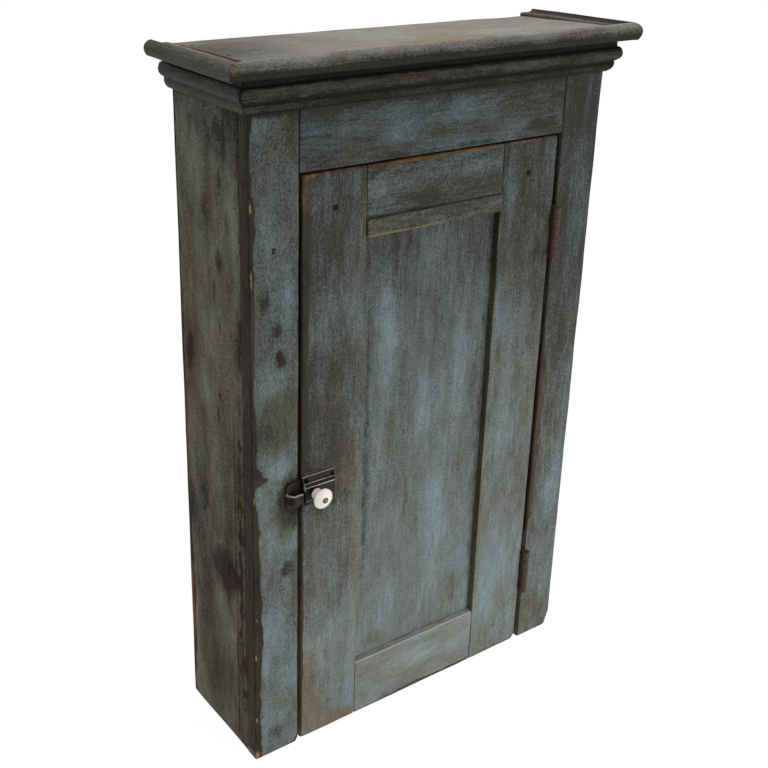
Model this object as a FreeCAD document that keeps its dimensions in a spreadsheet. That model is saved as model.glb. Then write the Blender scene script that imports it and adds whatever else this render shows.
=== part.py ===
import FreeCAD, Part
import math
import os
import re
import Sketcher

# Hanging wall cupboard with one panelled door, a bullnose cornice and a turn latch.
# Frame: +X to the viewer's right, +Y into the wall, +Z up. The wall is the plane y = 0,
# and the origin lies midway between the two hanging screws.

sizes = {
    # case
    "case_width": 483,
    "case_depth": 156,            # wall to the front of the face frame
    "body_height": 780,           # lower end to the lower edge of the bed moulding
    "side_thickness": 19,
    "back_thickness": 12,
    "shelf_thickness": 16,
    "bottom_thickness": 19,
    "bottom_lift": 10,            # bottom board above the lower end of the sides
    "lower_shelf_height": 270,
    "upper_shelf_height": 520,
    "dado_depth": 6,
    "rabbet_width": 9,
    "board_gap": 1,               # shrinkage gap between back boards
    "hang_rail_height": 60,
    "hang_rail_thickness": 16,
    "hang_spacing": 300,
    "hang_hole_radius": 3,
    # face frame
    "face_thickness": 19,
    "stile_width": 60,
    "frieze_height": 64,          # frame rail below the bed moulding
    "frame_tenon_length": 30,
    "frame_tenon_thickness": 6,
    "frame_tenon_shoulder": 15,
    "stile_wear_width": 7,        # worn lower corner of the right stile
    "stile_wear_height": 22,
    # cornice
    "bed_height": 37,
    "ovolo_start": 0.5,
    "ovolo_projection": 8.2,
    "ovolo_height": 10.9,
    "round_step": 0.9,            # the upper round stands out from the ovolo
    "round_projection": 14.1,
    "round_height": 11.2,
    "round_radius": 11.5,
    "weathering": 3.1,            # slope from the upper round back to the neck
    "neck_projection": 9.7,
    "fillet_projection": 13,      # fillet between the neck and the cap
    "fillet_height": 3.5,
    "cap_thickness": 19.5,
    "front_overhang": 21,
    "left_overhang": 29.5,
    "right_overhang": 35.5,       # the cap sits a little to the right of the case
    "nose_depth": 7.5,
    "crest_width": 2,             # top of the nose, before the hollow behind it
    "cove_width": 6,
    "cove_radius": 6.5,
    "ledge_drop": 4.5,            # the flat behind the hollow lies below the crest
    "top_fall": 3.5,              # the top board is thinner at the wall
    "return_width": 29.5,
    "left_crest": 17,             # heights of the two returns
    "right_crest": 22,
    "return_gap": 1.2,            # open joint between the top board and its returns
    "mitre_gap": 0.6,
    # door
    "lock_gap": 3,
    "hinge_gap": 5.6,             # the hinge leaves are not let into the wood
    "top_gap": 2,
    "bottom_gap": 1,
    "door_thickness": 18,
    "lock_stile_width": 81,
    "hinge_stile_width": 83,
    "top_rail_width": 79,
    "bottom_rail_width": 78,
    "panel_recess": 9.5,
    "panel_thickness": 5,
    "panel_tongue": 8,
    "panel_play": 1,              # room for the panel to swell in its groove
    "tenon_length": 60,
    "tenon_shoulder": 12,
    "peg_radius": 3.5,
    "peg_inset": 40,
    "rail_strip_height": 21,
    "rail_strip_thickness": 3,
    "door_wear_width": 6,         # worn lower corner of the hinge stile
    "door_wear_height": 7,
    # hinges
    "hinge_length": 63.5,
    "upper_hinge_height": 596,
    "lower_hinge_height": 113.5,
    "hinge_offset": 5.6,          # pin in front of the door face
    "barrel_radius": 5,
    "pin_radius": 2.5,
    "pin_clearance": 0.05,
    "knuckle_gap": 0.4,
    "leaf_depth": 14.5,
    "leaf_gap": 0.8,
    "hinge_screw_pitch": 22,
    "hinge_screw_length": 18,
    # latch
    "latch_height": 350,          # knob axis above the lower end
    "latch_width": 43,
    "latch_span": 38,
    "latch_depth": 9,
    "latch_wall": 1.6,
    "latch_flange": 1.5,
    "bevel_foot_depth": 4,
    "bevel_foot_span": 26,
    "ridge_depth": 6,
    "ridge_span": 25,
    "latch_front_span": 17,
    "latch_end_bevel": 4,
    "collar_radius": 6,
    "collar_height": 2,
    "knob_inset": 13,             # knob axis from the edge of the door
    "bolt_thickness": 3,
    "bolt_lift": 1.9,             # bolt in front of the door face
    "bolt_nose_span": 10,
    "bolt_body_span": 17,
    "bolt_body_length": 21,
    "latch_clearance": 0.3,
    "crank_radius": 5,
    "crank_half_angle": 40,
    "crank_pin_radius": 1.3,
    "hub_thickness": 1.9,
    "spindle_radius": 3,
    "spindle_clearance": 0.05,
    "knob_radius": 12,
    "knob_crown": 18.4,           # radius of the knob's face
    "knob_length": 18.2,
    "knob_foot_radius": 6.5,
    "knob_neck_radius": 5.2,
    "knob_neck_length": 5,
    "knob_rim_length": 12.6,
    "knob_rim_thickness": 1.4,
    "rivet_head_radius": 3.7,
    "rivet_head_height": 1.4,
    "rivet_length": 5,
    "keeper_width": 17.5,
    "keeper_plate_height": 34,
    "keeper_plate_thickness": 1.5,
    "keeper_round": 8,            # corners away from the door
    "keeper_hook_height": 12,
    "keeper_hook_drop": 3,        # middle of the hook below the knob axis
    "keeper_slant": 4,            # the hook's wall leans towards the door
    "keeper_hook_depth": 10,
    "keeper_wall": 2.4,
    "latch_screw_length": 12,
    "latch_screw_inset": 4.2,
    "keeper_screw_inset": 4.6,
    # screws, brads and nails
    "screw_head_radius": 2.6,
    "screw_head_height": 1.3,
    "screw_radius": 1.3,
    "screw_clearance": 0.05,
    "brad_length": 13,
    "brad_width": 3,
    "brad_thickness": 2.2,
    "brad_tip": 0.9,
    "brad_inset": 22,             # end brads from the ends of the rail strip
    "nail_length": 40,
    "nail_width": 3.6,
    "nail_thickness": 2.4,
    "nail_tip": 1.2,
    "nail_margin": 60,            # end nails from the ends of their row
    "nail_set": 1,                # nails in the top are driven below its face
    # room past a surface that a cut leaves clear
    "cut_margin": 1,
}

derived = {
    "half_width": "case_width / 2",
    "top_height": "body_height + bed_height",
    "base_z": "hang_rail_height / 2 - top_height",
    "bed_z": "base_z + body_height",
    "cap_z": "base_z + top_height",
    "face_y": "-case_depth",
    "carcase_y": "face_y + face_thickness",
    "inner_half": "half_width - side_thickness",
    "housed_half": "inner_half + dado_depth",
    "back_half": "inner_half + rabbet_width",
    "back_board_width": "(2 * back_half - 2 * board_gap) / 3",
    "frame_inner": "half_width - stile_width",
    "frieze_z": "bed_z - frieze_height",
    "frieze_full": "frieze_height + bed_height",
    "cap_left": "half_width + left_overhang",
    "cap_right": "half_width + right_overhang",
    "cap_front": "face_y - front_overhang",
    "ledge_inset": "nose_depth + crest_width + cove_width",
    "ledge_y": "cap_front + ledge_inset",
    "door_left": "lock_gap - frame_inner",
    "door_right": "frame_inner - hinge_gap",
    "door_z": "base_z + bottom_gap",
    "door_height": "body_height - frieze_height - top_gap - bottom_gap",
    "door_top": "door_z + door_height",
    "sight_left": "door_left + lock_stile_width",
    "sight_right": "door_right - hinge_stile_width",
    "sight_width": "sight_right - sight_left",
    "sight_bottom": "door_z + bottom_rail_width",
    "sight_top": "door_top - top_rail_width",
    "panel_y": "face_y + panel_recess",
    "panel_reach": "panel_tongue - panel_play",
    "peg_hole_radius": "peg_radius + screw_clearance",
    "leaf_thickness": "(hinge_gap - leaf_gap) / 2",
    "hinge_x": "door_right + hinge_gap / 2",
    "hinge_y": "face_y - hinge_offset",
    "knuckle_pitch": "hinge_length / 5",
    "knob_x": "door_left + knob_inset",
    "knob_z": "base_z + latch_height",
    "crank_x": "crank_radius * sin(crank_half_angle * 1 deg)",
    "crank_z": "-crank_radius * cos(crank_half_angle * 1 deg)",
    "bolt_travel": "2 * crank_x",
    "hub_depth": "bolt_lift + bolt_thickness + latch_clearance",
    "hub_radius": "crank_radius + crank_pin_radius + latch_clearance",
    "cavity_depth": "latch_depth - latch_wall",
    "cavity_span": "bolt_body_span + 2 * latch_clearance",
    "spindle_hole_radius": "spindle_radius + spindle_clearance",
    "knob_seat": "latch_depth + collar_height + latch_clearance",
    "knob_front": "knob_seat + knob_length",
    "spindle_end": "knob_front - rivet_length",
}

doc = FreeCAD.newDocument("wall_cupboard")
sheet = doc.addObject("Spreadsheet::Sheet", "sizes")
nodes = []


def fill_sheet():
    cells = [(name, str(value)) for name, value in sizes.items()]
    cells += [(name, "=" + formula) for name, formula in derived.items()]
    for row, (name, content) in enumerate(cells, start=1):
        sheet.set("A%d" % row, name)
        sheet.set("B%d" % row, content)
        sheet.setAlias("B%d" % row, name)
    doc.recompute()


def bound(formula):
    # A formula in size names becomes an expression on the sheet's cells.
    def cell(match):
        word = match.group(0)
        known = word in sizes or word in derived
        return "sizes." + word if known else word
    return re.sub(r"[a-z][a-z0-9_]*", cell, formula)


def number(formula):
    return float(sheet.evalExpression(bound(formula)))


def bind(item, prop, formula):
    item.setExpression(prop, bound(formula))


def place(item, x, y, z):
    bind(item, "Placement.Base.x", x)
    bind(item, "Placement.Base.y", y)
    bind(item, "Placement.Base.z", z)


def node(item, label):
    item.Label = label
    nodes.append(item)
    return item


def box(name, corner, extent):
    solid = doc.addObject("Part::Box", name)
    for prop, formula in zip(("Length", "Width", "Height"), extent):
        bind(solid, prop, formula)
    place(solid, *corner)
    return solid


turns = {
    "+x": FreeCAD.Rotation(FreeCAD.Vector(0, 1, 0), 90),
    "-x": FreeCAD.Rotation(FreeCAD.Vector(0, 1, 0), -90),
    "+y": FreeCAD.Rotation(FreeCAD.Vector(1, 0, 0), -90),
    "-y": FreeCAD.Rotation(FreeCAD.Vector(1, 0, 0), 90),
    "+z": FreeCAD.Rotation(),
    "-z": FreeCAD.Rotation(FreeCAD.Vector(1, 0, 0), 180),
}

# a nail lies along +Y before it is turned
nail_turns = {
    "+y": FreeCAD.Rotation(),
    "-y": FreeCAD.Rotation(FreeCAD.Vector(1, 0, 0), 180),
    "-z": FreeCAD.Rotation(FreeCAD.Vector(1, 0, 0), -90),
}


def cylinder(name, start, radius, length, direction):
    solid = doc.addObject("Part::Cylinder", name)
    solid.Placement = FreeCAD.Placement(FreeCAD.Vector(), turns[direction])
    bind(solid, "Radius", radius)
    bind(solid, "Height", length)
    place(solid, *start)
    return solid


def cone(name, start, radius, end_radius, length, direction):
    solid = doc.addObject("Part::Cone", name)
    solid.Placement = FreeCAD.Placement(FreeCAD.Vector(), turns[direction])
    bind(solid, "Radius1", radius)
    bind(solid, "Radius2", end_radius)
    bind(solid, "Height", length)
    place(solid, *start)
    return solid


def group(name, solids):
    compound = doc.addObject("Part::Compound", name)
    compound.Links = solids
    return compound


def fuse(name, solids):
    joined = doc.addObject("Part::MultiFuse", name)
    joined.Shapes = solids
    joined.Refine = True
    return joined


def cut(name, base, tools):
    result = doc.addObject("Part::Cut", name)
    result.Base = base
    result.Tool = tools[0] if len(tools) == 1 else fuse(name + "_tools", tools)
    return result


def shifted(start, direction, distance):
    # A point moved along one signed axis, as formulas.
    moved = list(start)
    axis = "xyz".index(direction[1])
    moved[axis] = "%s %s (%s)" % (start[axis], direction[0], distance)
    return moved


def new_body(name):
    return doc.addObject("PartDesign::Body", name)


def new_sketch(body, role, name, offset="0"):
    sketch = body.newObject("Sketcher::SketchObject", name)
    planes = [item for item in body.Origin.OriginFeatures if item.Role == role]
    sketch.AttachmentSupport = [(planes[0], "")]
    sketch.MapMode = "FlatFace"
    bind(sketch, "AttachmentOffset.Base.z", offset)
    return sketch


def arc_through(start, end, radius, turn):
    # Middle point of the arc under a half circle; turn +1 has its centre on the left.
    half = (end - start) * 0.5
    depth = math.sqrt(radius * radius - half.Length ** 2)
    across = FreeCAD.Vector(-half.y, half.x, 0) * (turn / half.Length)
    centre = start + half + across * depth
    return Part.Arc(start, centre - across * radius, end)


def outline(sketch, corners):
    # Closed profile: each corner is (x, y), or (x, y, radius, turn) where an arc follows.
    points = [FreeCAD.Vector(number(corner[0]), number(corner[1]), 0) for corner in corners]
    for place_in_row, corner in enumerate(corners):
        start = points[place_in_row]
        end = points[(place_in_row + 1) % len(points)]
        if len(corner) == 2:
            edge = Part.LineSegment(start, end)
        else:
            edge = arc_through(start, end, number(corner[2]), corner[3])
        sketch.addGeometry(edge)

    def end_at(edge, point):
        near = sketch.getPoint(edge, 1).distanceToPoint(point) < 1e-6
        return 1 if near else 2

    for edge, corner in enumerate(corners):
        start = points[edge]
        before = (edge - 1) % len(corners)
        position = end_at(edge, start)
        sketch.addConstraint(
            Sketcher.Constraint("Coincident", before, end_at(before, start), edge, position))
        for kind, formula in (("DistanceX", corner[0]), ("DistanceY", corner[1])):
            row = sketch.addConstraint(
                Sketcher.Constraint(kind, -1, 1, edge, position, number(formula)))
            bind(sketch, "Constraints[%d]" % row, formula)
        if len(corner) == 4:
            row = sketch.addConstraint(Sketcher.Constraint("Radius", edge, number(corner[2])))
            bind(sketch, "Constraints[%d]" % row, corner[2])
    return sketch


def pad(body, sketch, length, both_ways=False, reverse=False):
    feature = body.newObject("PartDesign::Pad", sketch.Name + "_pad")
    feature.Profile = sketch
    bind(feature, "Length", length)
    feature.Midplane = both_ways
    feature.Reversed = reverse
    return feature


def pocket_through(body, sketch):
    feature = body.newObject("PartDesign::Pocket", sketch.Name + "_pocket")
    feature.Profile = sketch
    feature.Type = "ThroughAll"
    feature.Midplane = True
    return feature


def revolve(body, sketch):
    feature = body.newObject("PartDesign::Revolution", sketch.Name + "_turned")
    feature.Profile = sketch
    feature.ReferenceAxis = (sketch, ["V_Axis"])
    feature.Angle = 360
    return feature


def countersunk(name, head, direction, length):
    # A wood screw from its head downwards, and the hole that takes it.
    neck = shifted(head, direction, "screw_head_height")
    over = shifted(head, direction, "-latch_depth")
    shank_length = length + " - screw_head_height"
    hole_radius = "screw_radius + screw_clearance"
    hole_head = "screw_head_radius + screw_clearance"
    screw = fuse(name, [
        cone(name + "_head", head, "screw_head_radius", "screw_radius",
             "screw_head_height", direction),
        cylinder(name + "_shank", neck, "screw_radius", shank_length, direction)])
    hole = fuse(name + "_hole", [
        cone(name + "_sink", head, hole_head, hole_radius, "screw_head_height", direction),
        cylinder(name + "_bore", neck, hole_radius, shank_length, direction),
        cylinder(name + "_room", over, hole_head, "latch_depth", direction)])
    return screw, hole


def cut_nail(name, head, direction, kind="nail"):
    # A flat rectangular head, and two sides that taper towards the tip.
    nail = doc.addObject("Part::Wedge", name)
    nail.Placement = FreeCAD.Placement(FreeCAD.Vector(), nail_turns[direction])
    limits = (("X", "{0}_thickness", "{0}_thickness"), ("Z", "{0}_width", "{0}_tip"))
    for axis, at_head, at_tip in limits:
        for step, size in (("", at_head), ("2", at_tip)):
            bind(nail, axis + step + "min", "-%s / 2" % size.format(kind))
            bind(nail, axis + step + "max", "%s / 2" % size.format(kind))
    bind(nail, "Ymin", "0")
    bind(nail, "Ymax", kind + "_length")
    place(nail, *head)
    return nail


fill_sheet()

# Nails: their holes are cut with the same solids.

def frame_nails():
    nails = []
    first = "base_z + nail_margin"
    step = "(body_height - 2 * nail_margin) / 3"
    for side, sign in (("left", "-"), ("right", "")):
        for row in range(4):
            head = (sign + "(half_width - side_thickness / 2)", "face_y",
                    "%s + %d * %s" % (first, row, step))
            nails.append(cut_nail("frame_nail_%s_%d" % (side, row), head, "+y"))
    return nails


def back_nails():
    nails = []
    rows = ("base_z + bottom_lift + bottom_thickness / 2",
            "base_z + lower_shelf_height + shelf_thickness / 2",
            "base_z + upper_shelf_height + shelf_thickness / 2")
    for board in range(3):
        middle = "(%d) * (back_board_width + board_gap)" % (board - 1)
        for row, height in enumerate(rows):
            nails.append(cut_nail("back_nail_%d_%d" % (board, row), (middle, "0", height), "-y"))
    return nails


def top_nails():
    nails = []
    step = "(case_depth - face_thickness - nail_margin)"
    for side, sign in (("left", "-"), ("right", "")):
        for row in range(2):
            depth = "carcase_y + nail_margin / 2 + %d * %s" % (row, step)
            head = (sign + "(half_width - side_thickness / 2)", depth,
                    "cap_z + cap_thickness - ledge_drop - nail_set"
                    " - top_fall * (1 - (%s) / ledge_y)" % depth)
            nails.append(cut_nail("top_nail_%s_%d" % (side, row), head, "-z"))
    return nails


frame_nail_group = node(group("frame_nail_group", frame_nails()), "frame_nails")
back_nail_group = node(group("back_nail_group", back_nails()), "back_nails")
top_nail_group = node(group("top_nail_group", top_nails()), "top_nails")


# Carcase boards

def hanging_holes(name):
    holes = []
    for side, sign in (("left", "-"), ("right", "")):
        start = (sign + "hang_spacing / 2", "hang_rail_thickness", "0")
        depth = "2 * hang_rail_thickness + 2 * back_thickness"
        holes.append(cylinder("%s_hole_%s" % (name, side), start, "hang_hole_radius", depth, "-y"))
    return holes


def housings(name):
    # Grooves across both sides for the bottom board and the shelves.
    levels = (("bottom", "bottom_lift", "bottom_thickness"),
              ("lower", "lower_shelf_height", "shelf_thickness"),
              ("upper", "upper_shelf_height", "shelf_thickness"))
    return [box("%s_%s_dado" % (name, level),
                ("-housed_half", "carcase_y", "base_z + " + height),
                ("2 * housed_half", "case_depth - face_thickness - back_thickness", thickness))
            for level, height, thickness in levels]


def side_board(label, corner_x):
    blank = box(label + "_blank", (corner_x, "carcase_y", "base_z"),
                ("side_thickness", "case_depth - face_thickness", "top_height"))
    rabbet = box(label + "_rabbet", ("-back_half", "-back_thickness", "base_z"),
                 ("2 * back_half", "back_thickness", "top_height"))
    tools = [rabbet] + housings(label) + [frame_nail_group, top_nail_group]
    node(cut(label + "_cut", blank, tools), label)


def housed_board(label, height, thickness):
    blank = box(label + "_blank", ("-housed_half", "carcase_y", "base_z + " + height),
                ("2 * housed_half", "case_depth - face_thickness - back_thickness", thickness))
    node(cut(label + "_cut", blank, [back_nail_group]), label)


def back_board(label, place_in_row):
    left = "-back_half + %d * (back_board_width + board_gap)" % place_in_row
    blank = box(label + "_blank", (left, "-back_thickness", "base_z"),
                ("back_board_width", "back_thickness", "top_height"))
    node(cut(label + "_cut", blank, [back_nail_group] + hanging_holes(label)), label)


def hanging_rail():
    blank = box("rail_blank", ("-inner_half", "-back_thickness - hang_rail_thickness",
                               "-hang_rail_height / 2"),
                ("2 * inner_half", "hang_rail_thickness", "hang_rail_height"))
    node(cut("rail_cut", blank, hanging_holes("rail")), "hanging_rail")


side_board("left_side", "-half_width")
side_board("right_side", "inner_half")
housed_board("case_bottom", "bottom_lift", "bottom_thickness")
housed_board("lower_shelf", "lower_shelf_height", "shelf_thickness")
housed_board("upper_shelf", "upper_shelf_height", "shelf_thickness")
for place_in_row, board_name in enumerate(("left", "middle", "right")):
    back_board("back_board_" + board_name, place_in_row)
hanging_rail()


# Hinges: two butt hinges whose leaves lie on the edges of the door and the right stile

hinges = (("upper", "base_z + upper_hinge_height"), ("lower", "base_z + lower_hinge_height"))


def hinge_screws(side):
    screws = []
    holes = []
    sign, direction = ("+", "+x") if side == "case" else ("-", "-x")
    for name, height in hinges:
        for row in (-1, 0, 1):
            head = ("hinge_x %s leaf_gap / 2" % sign, "face_y + leaf_depth / 2",
                    "%s + (%d) * hinge_screw_pitch" % (height, row))
            screw, hole = countersunk("%s_%s_screw_%d" % (side, name, row + 1), head, direction,
                                      "hinge_screw_length")
            screws.append(screw)
            holes.append(hole)
    node(group(side + "_hinge_screw_group", screws), side + "_hinge_screws")
    return holes


def hinge_leaf(name, height, side, knuckles, holes):
    label = "%s_hinge_%s_leaf" % (name, side)
    inner = "hinge_x + leaf_gap / 2" if side == "case" else "door_right"
    foot = "%s - hinge_length / 2" % height
    pieces = [box(label + "_plate", (inner, "face_y", foot),
                  ("leaf_thickness", "leaf_depth", "hinge_length"))]
    for knuckle in knuckles:
        low = "%s + %d * knuckle_pitch + knuckle_gap / 2" % (foot, knuckle)
        tall = "knuckle_pitch - knuckle_gap"
        pieces.append(box("%s_neck_%d" % (label, knuckle), (inner, "hinge_y", low),
                          ("leaf_thickness", "hinge_offset", tall)))
        pieces.append(cylinder("%s_knuckle_%d" % (label, knuckle), ("hinge_x", "hinge_y", low),
                               "barrel_radius", tall, "+z"))
    bore = cylinder(label + "_bore", ("hinge_x", "hinge_y", foot),
                    "pin_radius + pin_clearance", "hinge_length", "+z")
    node(cut(label + "_cut", fuse(label + "_blank", pieces), [bore] + holes), label)


def hinge_pin(name, height):
    start = ("hinge_x", "hinge_y", "%s - hinge_length / 2" % height)
    node(cylinder(name + "_pin", start, "pin_radius", "hinge_length", "+z"),
         name + "_hinge_pin")


case_screw_holes = hinge_screws("case")
door_screw_holes = hinge_screws("door")
for hinge_row, (hinge_name, hinge_height) in enumerate(hinges):
    of_hinge = slice(3 * hinge_row, 3 * hinge_row + 3)
    hinge_leaf(hinge_name, hinge_height, "case", (0, 2, 4), case_screw_holes[of_hinge])
    hinge_leaf(hinge_name, hinge_height, "door", (1, 3), door_screw_holes[of_hinge])
    hinge_pin(hinge_name, hinge_height)


# Keeper: a cast hook on the left stile, open above, below and towards the door

def keeper_screws():
    made = [countersunk("keeper_screw_%d" % row,
                        ("-frame_inner - keeper_width / 2", "face_y - keeper_plate_thickness",
                         "knob_z + (%d) * (keeper_plate_height / 2 - keeper_screw_inset)" % row),
                        "+y", "latch_screw_length")
            for row in (-1, 1)]
    node(group("keeper_screw_group", [screw for screw, hole in made]), "keeper_screws")
    return [hole for screw, hole in made]


def keeper(holes):
    body = new_body("keeper_body")
    right = "-frame_inner"
    left = right + " - keeper_width"
    front = "face_y - keeper_hook_depth"
    lip = front + " + keeper_wall"
    plate = "face_y - keeper_plate_thickness"
    bend = left + " + keeper_slant"
    middle = "knob_z - keeper_hook_drop"
    hook = outline(new_sketch(body, "XY_Plane", "keeper_hook", middle), [
        (right, "face_y"), (left, "face_y"),
        (bend, lip, "keeper_wall", 1),
        (bend + " + keeper_wall", front), (right, front), (right, lip),
        (bend + " + keeper_wall", lip), (left + " + keeper_wall", plate), (right, plate)])
    pad(body, hook, "keeper_hook_height", both_ways=True)
    top = "knob_z + keeper_plate_height / 2"
    foot = "knob_z - keeper_plate_height / 2"
    rounded = left + " + keeper_round"
    base = outline(new_sketch(body, "XZ_Plane", "keeper_plate", "-face_y"), [
        (right, foot), (right, top), (rounded, top, "keeper_round", 1),
        (left, top + " - keeper_round"), (left, foot + " + keeper_round", "keeper_round", 1),
        (rounded, foot)])
    pad(body, base, "keeper_plate_thickness")
    node(cut("keeper_cut", body, holes), "keeper")


keeper_holes = keeper_screws()
keeper(keeper_holes)


# Face frame

def worn_corner(name, edge, foot, width, height):
    # A wedge that takes off a lower right corner.
    body = new_body(name)
    past = edge + " + cut_margin"
    below = foot + " - cut_margin"
    wedge = outline(new_sketch(body, "XZ_Plane", name + "_outline"), [
        ("%s - %s" % (edge, width), foot), ("%s - %s" % (edge, width), below), (past, below),
        (past, "%s + %s" % (foot, height)), (edge, "%s + %s" % (foot, height))])
    pad(body, wedge, "2 * case_depth", both_ways=True)
    bind(body, "Placement.Base.y", "face_y")
    return body


def frame_tenon(name, left):
    return box(name, (left, "face_y + (face_thickness - frame_tenon_thickness) / 2",
                      "frieze_z + frame_tenon_shoulder"),
               ("frame_tenon_length", "frame_tenon_thickness",
                "frieze_full - 2 * frame_tenon_shoulder"))


def frame_stile(label, left, mortise_left, holes):
    blank = box(label + "_blank", (left, "face_y", "base_z"),
                ("stile_width", "face_thickness", "top_height"))
    tools = [frame_tenon(label + "_mortise", mortise_left), frame_nail_group] + holes
    node(cut(label + "_cut", blank, tools), label)


def frame_rail():
    rail = box("frame_rail_blank", ("-frame_inner", "face_y", "frieze_z"),
               ("2 * frame_inner", "face_thickness", "frieze_full"))
    left = frame_tenon("frame_left_tenon", "-frame_inner - frame_tenon_length")
    right = frame_tenon("frame_right_tenon", "frame_inner")
    node(fuse("frame_rail_fuse", [rail, left, right]), "frame_top_rail")


frame_stile("left_stile", "-half_width", "-frame_inner - frame_tenon_length", keeper_holes)
stile_wear = worn_corner("stile_wear", "half_width", "base_z", "stile_wear_width",
                         "stile_wear_height")
frame_stile("right_stile", "frame_inner", "frame_inner", case_screw_holes + [stile_wear])
frame_rail()


# Cornice: mitred bed mouldings under a bullnose top with two mitred returns

def bed_profile(outwards, start, turn):
    # Ovolo, step, upper round with a sloping top, neck and fillet, from the case outwards.
    def point(projection, height):
        return "%s %s (%s)" % (start, outwards, projection), "bed_z + " + height
    shoulder = "ovolo_height + round_height"
    neck_end = "bed_height - fillet_height"
    return [point("0", "0"),
            point("ovolo_start", "0") + ("ovolo_height", turn),
            point("ovolo_projection", "ovolo_height"),
            point("ovolo_projection + round_step", "ovolo_height") + ("round_radius", turn),
            point("round_projection", shoulder),
            point("neck_projection", shoulder + " + weathering"),
            point("neck_projection", neck_end),
            point("fillet_projection", neck_end),
            point("fillet_projection", "bed_height"),
            point("0", "bed_height")]


def mitre_point(sign, corner, step, gap="0"):
    # A point on the mitre line of a front corner, step mm inwards from it.
    across, ahead = corner
    return "%s1 * (%s - (%s))" % (sign, across, step), "%s + (%s) + %s" % (ahead, step, gap)


case_corner = ("half_width", "face_y")
bed_beyond = "-(round_projection + cut_margin)"


def front_mitre(body, sign, name):
    inner = mitre_point(sign, case_corner, "cut_margin")
    outer = mitre_point(sign, case_corner, bed_beyond)
    cutter = outline(new_sketch(body, "XY_Plane", name), [inner, (outer[0], inner[1]), outer])
    pocket_through(body, cutter)


def side_mitre(body, sign, name, corner, inner_step, outer_step):
    inner = mitre_point(sign, corner, inner_step, "mitre_gap")
    outer = mitre_point(sign, corner, outer_step, "mitre_gap")
    ahead = outer[1] + " - cut_margin - mitre_gap"
    cutter = outline(new_sketch(body, "XY_Plane", name), [
        inner, (inner[0], ahead), (outer[0], ahead), outer])
    pocket_through(body, cutter)


def front_bed_mould():
    body = new_body("bed_front_body")
    profile = outline(new_sketch(body, "YZ_Plane", "bed_front_profile"),
                      bed_profile("-", "face_y", -1))
    pad(body, profile, "2 * (half_width + round_projection)", both_ways=True)
    front_mitre(body, "-", "bed_front_left_mitre")
    front_mitre(body, "+", "bed_front_right_mitre")
    node(body, "bed_mould_front")


def side_bed_mould(label, sign, turn):
    body = new_body(label + "_body")
    profile = outline(new_sketch(body, "XZ_Plane", label + "_profile"),
                      bed_profile(sign, sign + "half_width", turn))
    pad(body, profile, "case_depth + round_projection")
    side_mitre(body, sign, label + "_mitre", case_corner, "cut_margin", bed_beyond)
    node(body, label)


def nose_radius(height):
    # Radius of a nose of the given height that stands out by nose_depth.
    return "((%s) ^ 2 / 4 + nose_depth ^ 2) / (2 * nose_depth)" % height


def top_board():
    # Bullnose, crest, hollow and a flat that falls towards the wall.
    crest = "cap_z + cap_thickness"
    body = new_body("top_board_body")
    profile = outline(new_sketch(body, "YZ_Plane", "top_board_profile"), [
        ("0", "cap_z"),
        ("cap_front + nose_depth", "cap_z", nose_radius("cap_thickness"), -1),
        ("cap_front + nose_depth", crest),
        ("cap_front + nose_depth + crest_width", crest, "cove_radius", 1),
        ("ledge_y", crest + " - ledge_drop"),
        ("0", crest + " - ledge_drop - top_fall")])
    reach = "left_overhang + right_overhang + cut_margin"
    pad(body, profile, "2 * (half_width + left_overhang + right_overhang)", both_ways=True)
    for side, sign in (("left", "-"), ("right", "+")):
        corner = ("cap_" + side, "cap_front")
        inner = mitre_point(sign, corner, "return_width + return_gap")
        outer = mitre_point(sign, corner, "-(%s)" % reach)
        cutter = outline(new_sketch(body, "XY_Plane", "top_board_%s_end" % side), [
            (inner[0], "cut_margin"), inner, outer, (outer[0], "cut_margin")])
        pocket_through(body, cutter)
    node(cut("top_board_cut", body, [top_nail_group]), "top_board")


def top_return(side, sign, turn):
    # A strip with the same nose, crest and hollow, and a ledge along the board.
    label = side + "_top_return"
    height = side + "_crest"
    crest = "cap_z + " + height
    body = new_body(label + "_body")

    def inset(distance):
        return "%s1 * (cap_%s - (%s))" % (sign, side, distance)
    profile = outline(new_sketch(body, "XZ_Plane", label + "_profile"), [
        (inset("return_width"), "cap_z"),
        (inset("nose_depth"), "cap_z", nose_radius(height), turn),
        (inset("nose_depth"), crest),
        (inset("nose_depth + crest_width"), crest, "cove_radius", -turn),
        (inset("ledge_inset"), crest + " - ledge_drop"),
        (inset("return_width"), crest + " - ledge_drop")])
    pad(body, profile, "case_depth + front_overhang")
    side_mitre(body, sign, label + "_mitre", ("cap_" + side, "cap_front"),
               "return_width + cut_margin", "-cut_margin")
    node(body, label)


front_bed_mould()
side_bed_mould("bed_mould_left", "-", -1)
side_bed_mould("bed_mould_right", "+", 1)
top_board()
top_return("left", "-", -1)
top_return("right", "+", 1)


# Door: pegged mortise-and-tenon frame round one flat panel

def rail_tenon(name, left, rail_z, rail_width):
    return box(name, (left, "panel_y", rail_z + " + tenon_shoulder"),
               ("tenon_length", "panel_thickness", rail_width + " - 2 * tenon_shoulder"))


rails = (("top", "sight_top", "top_rail_width"), ("bottom", "door_z", "bottom_rail_width"))


def peg(name, rail_z, rail_width, x, radius):
    # Whittled to eight sides.
    solid = doc.addObject("Part::Prism", name)
    solid.Polygon = 8
    solid.Placement = FreeCAD.Placement(FreeCAD.Vector(), turns["+y"])
    bind(solid, "Circumradius", radius)
    bind(solid, "Height", "door_thickness")
    place(solid, x, "face_y", "%s + %s / 2" % (rail_z, rail_width))
    return solid


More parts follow.
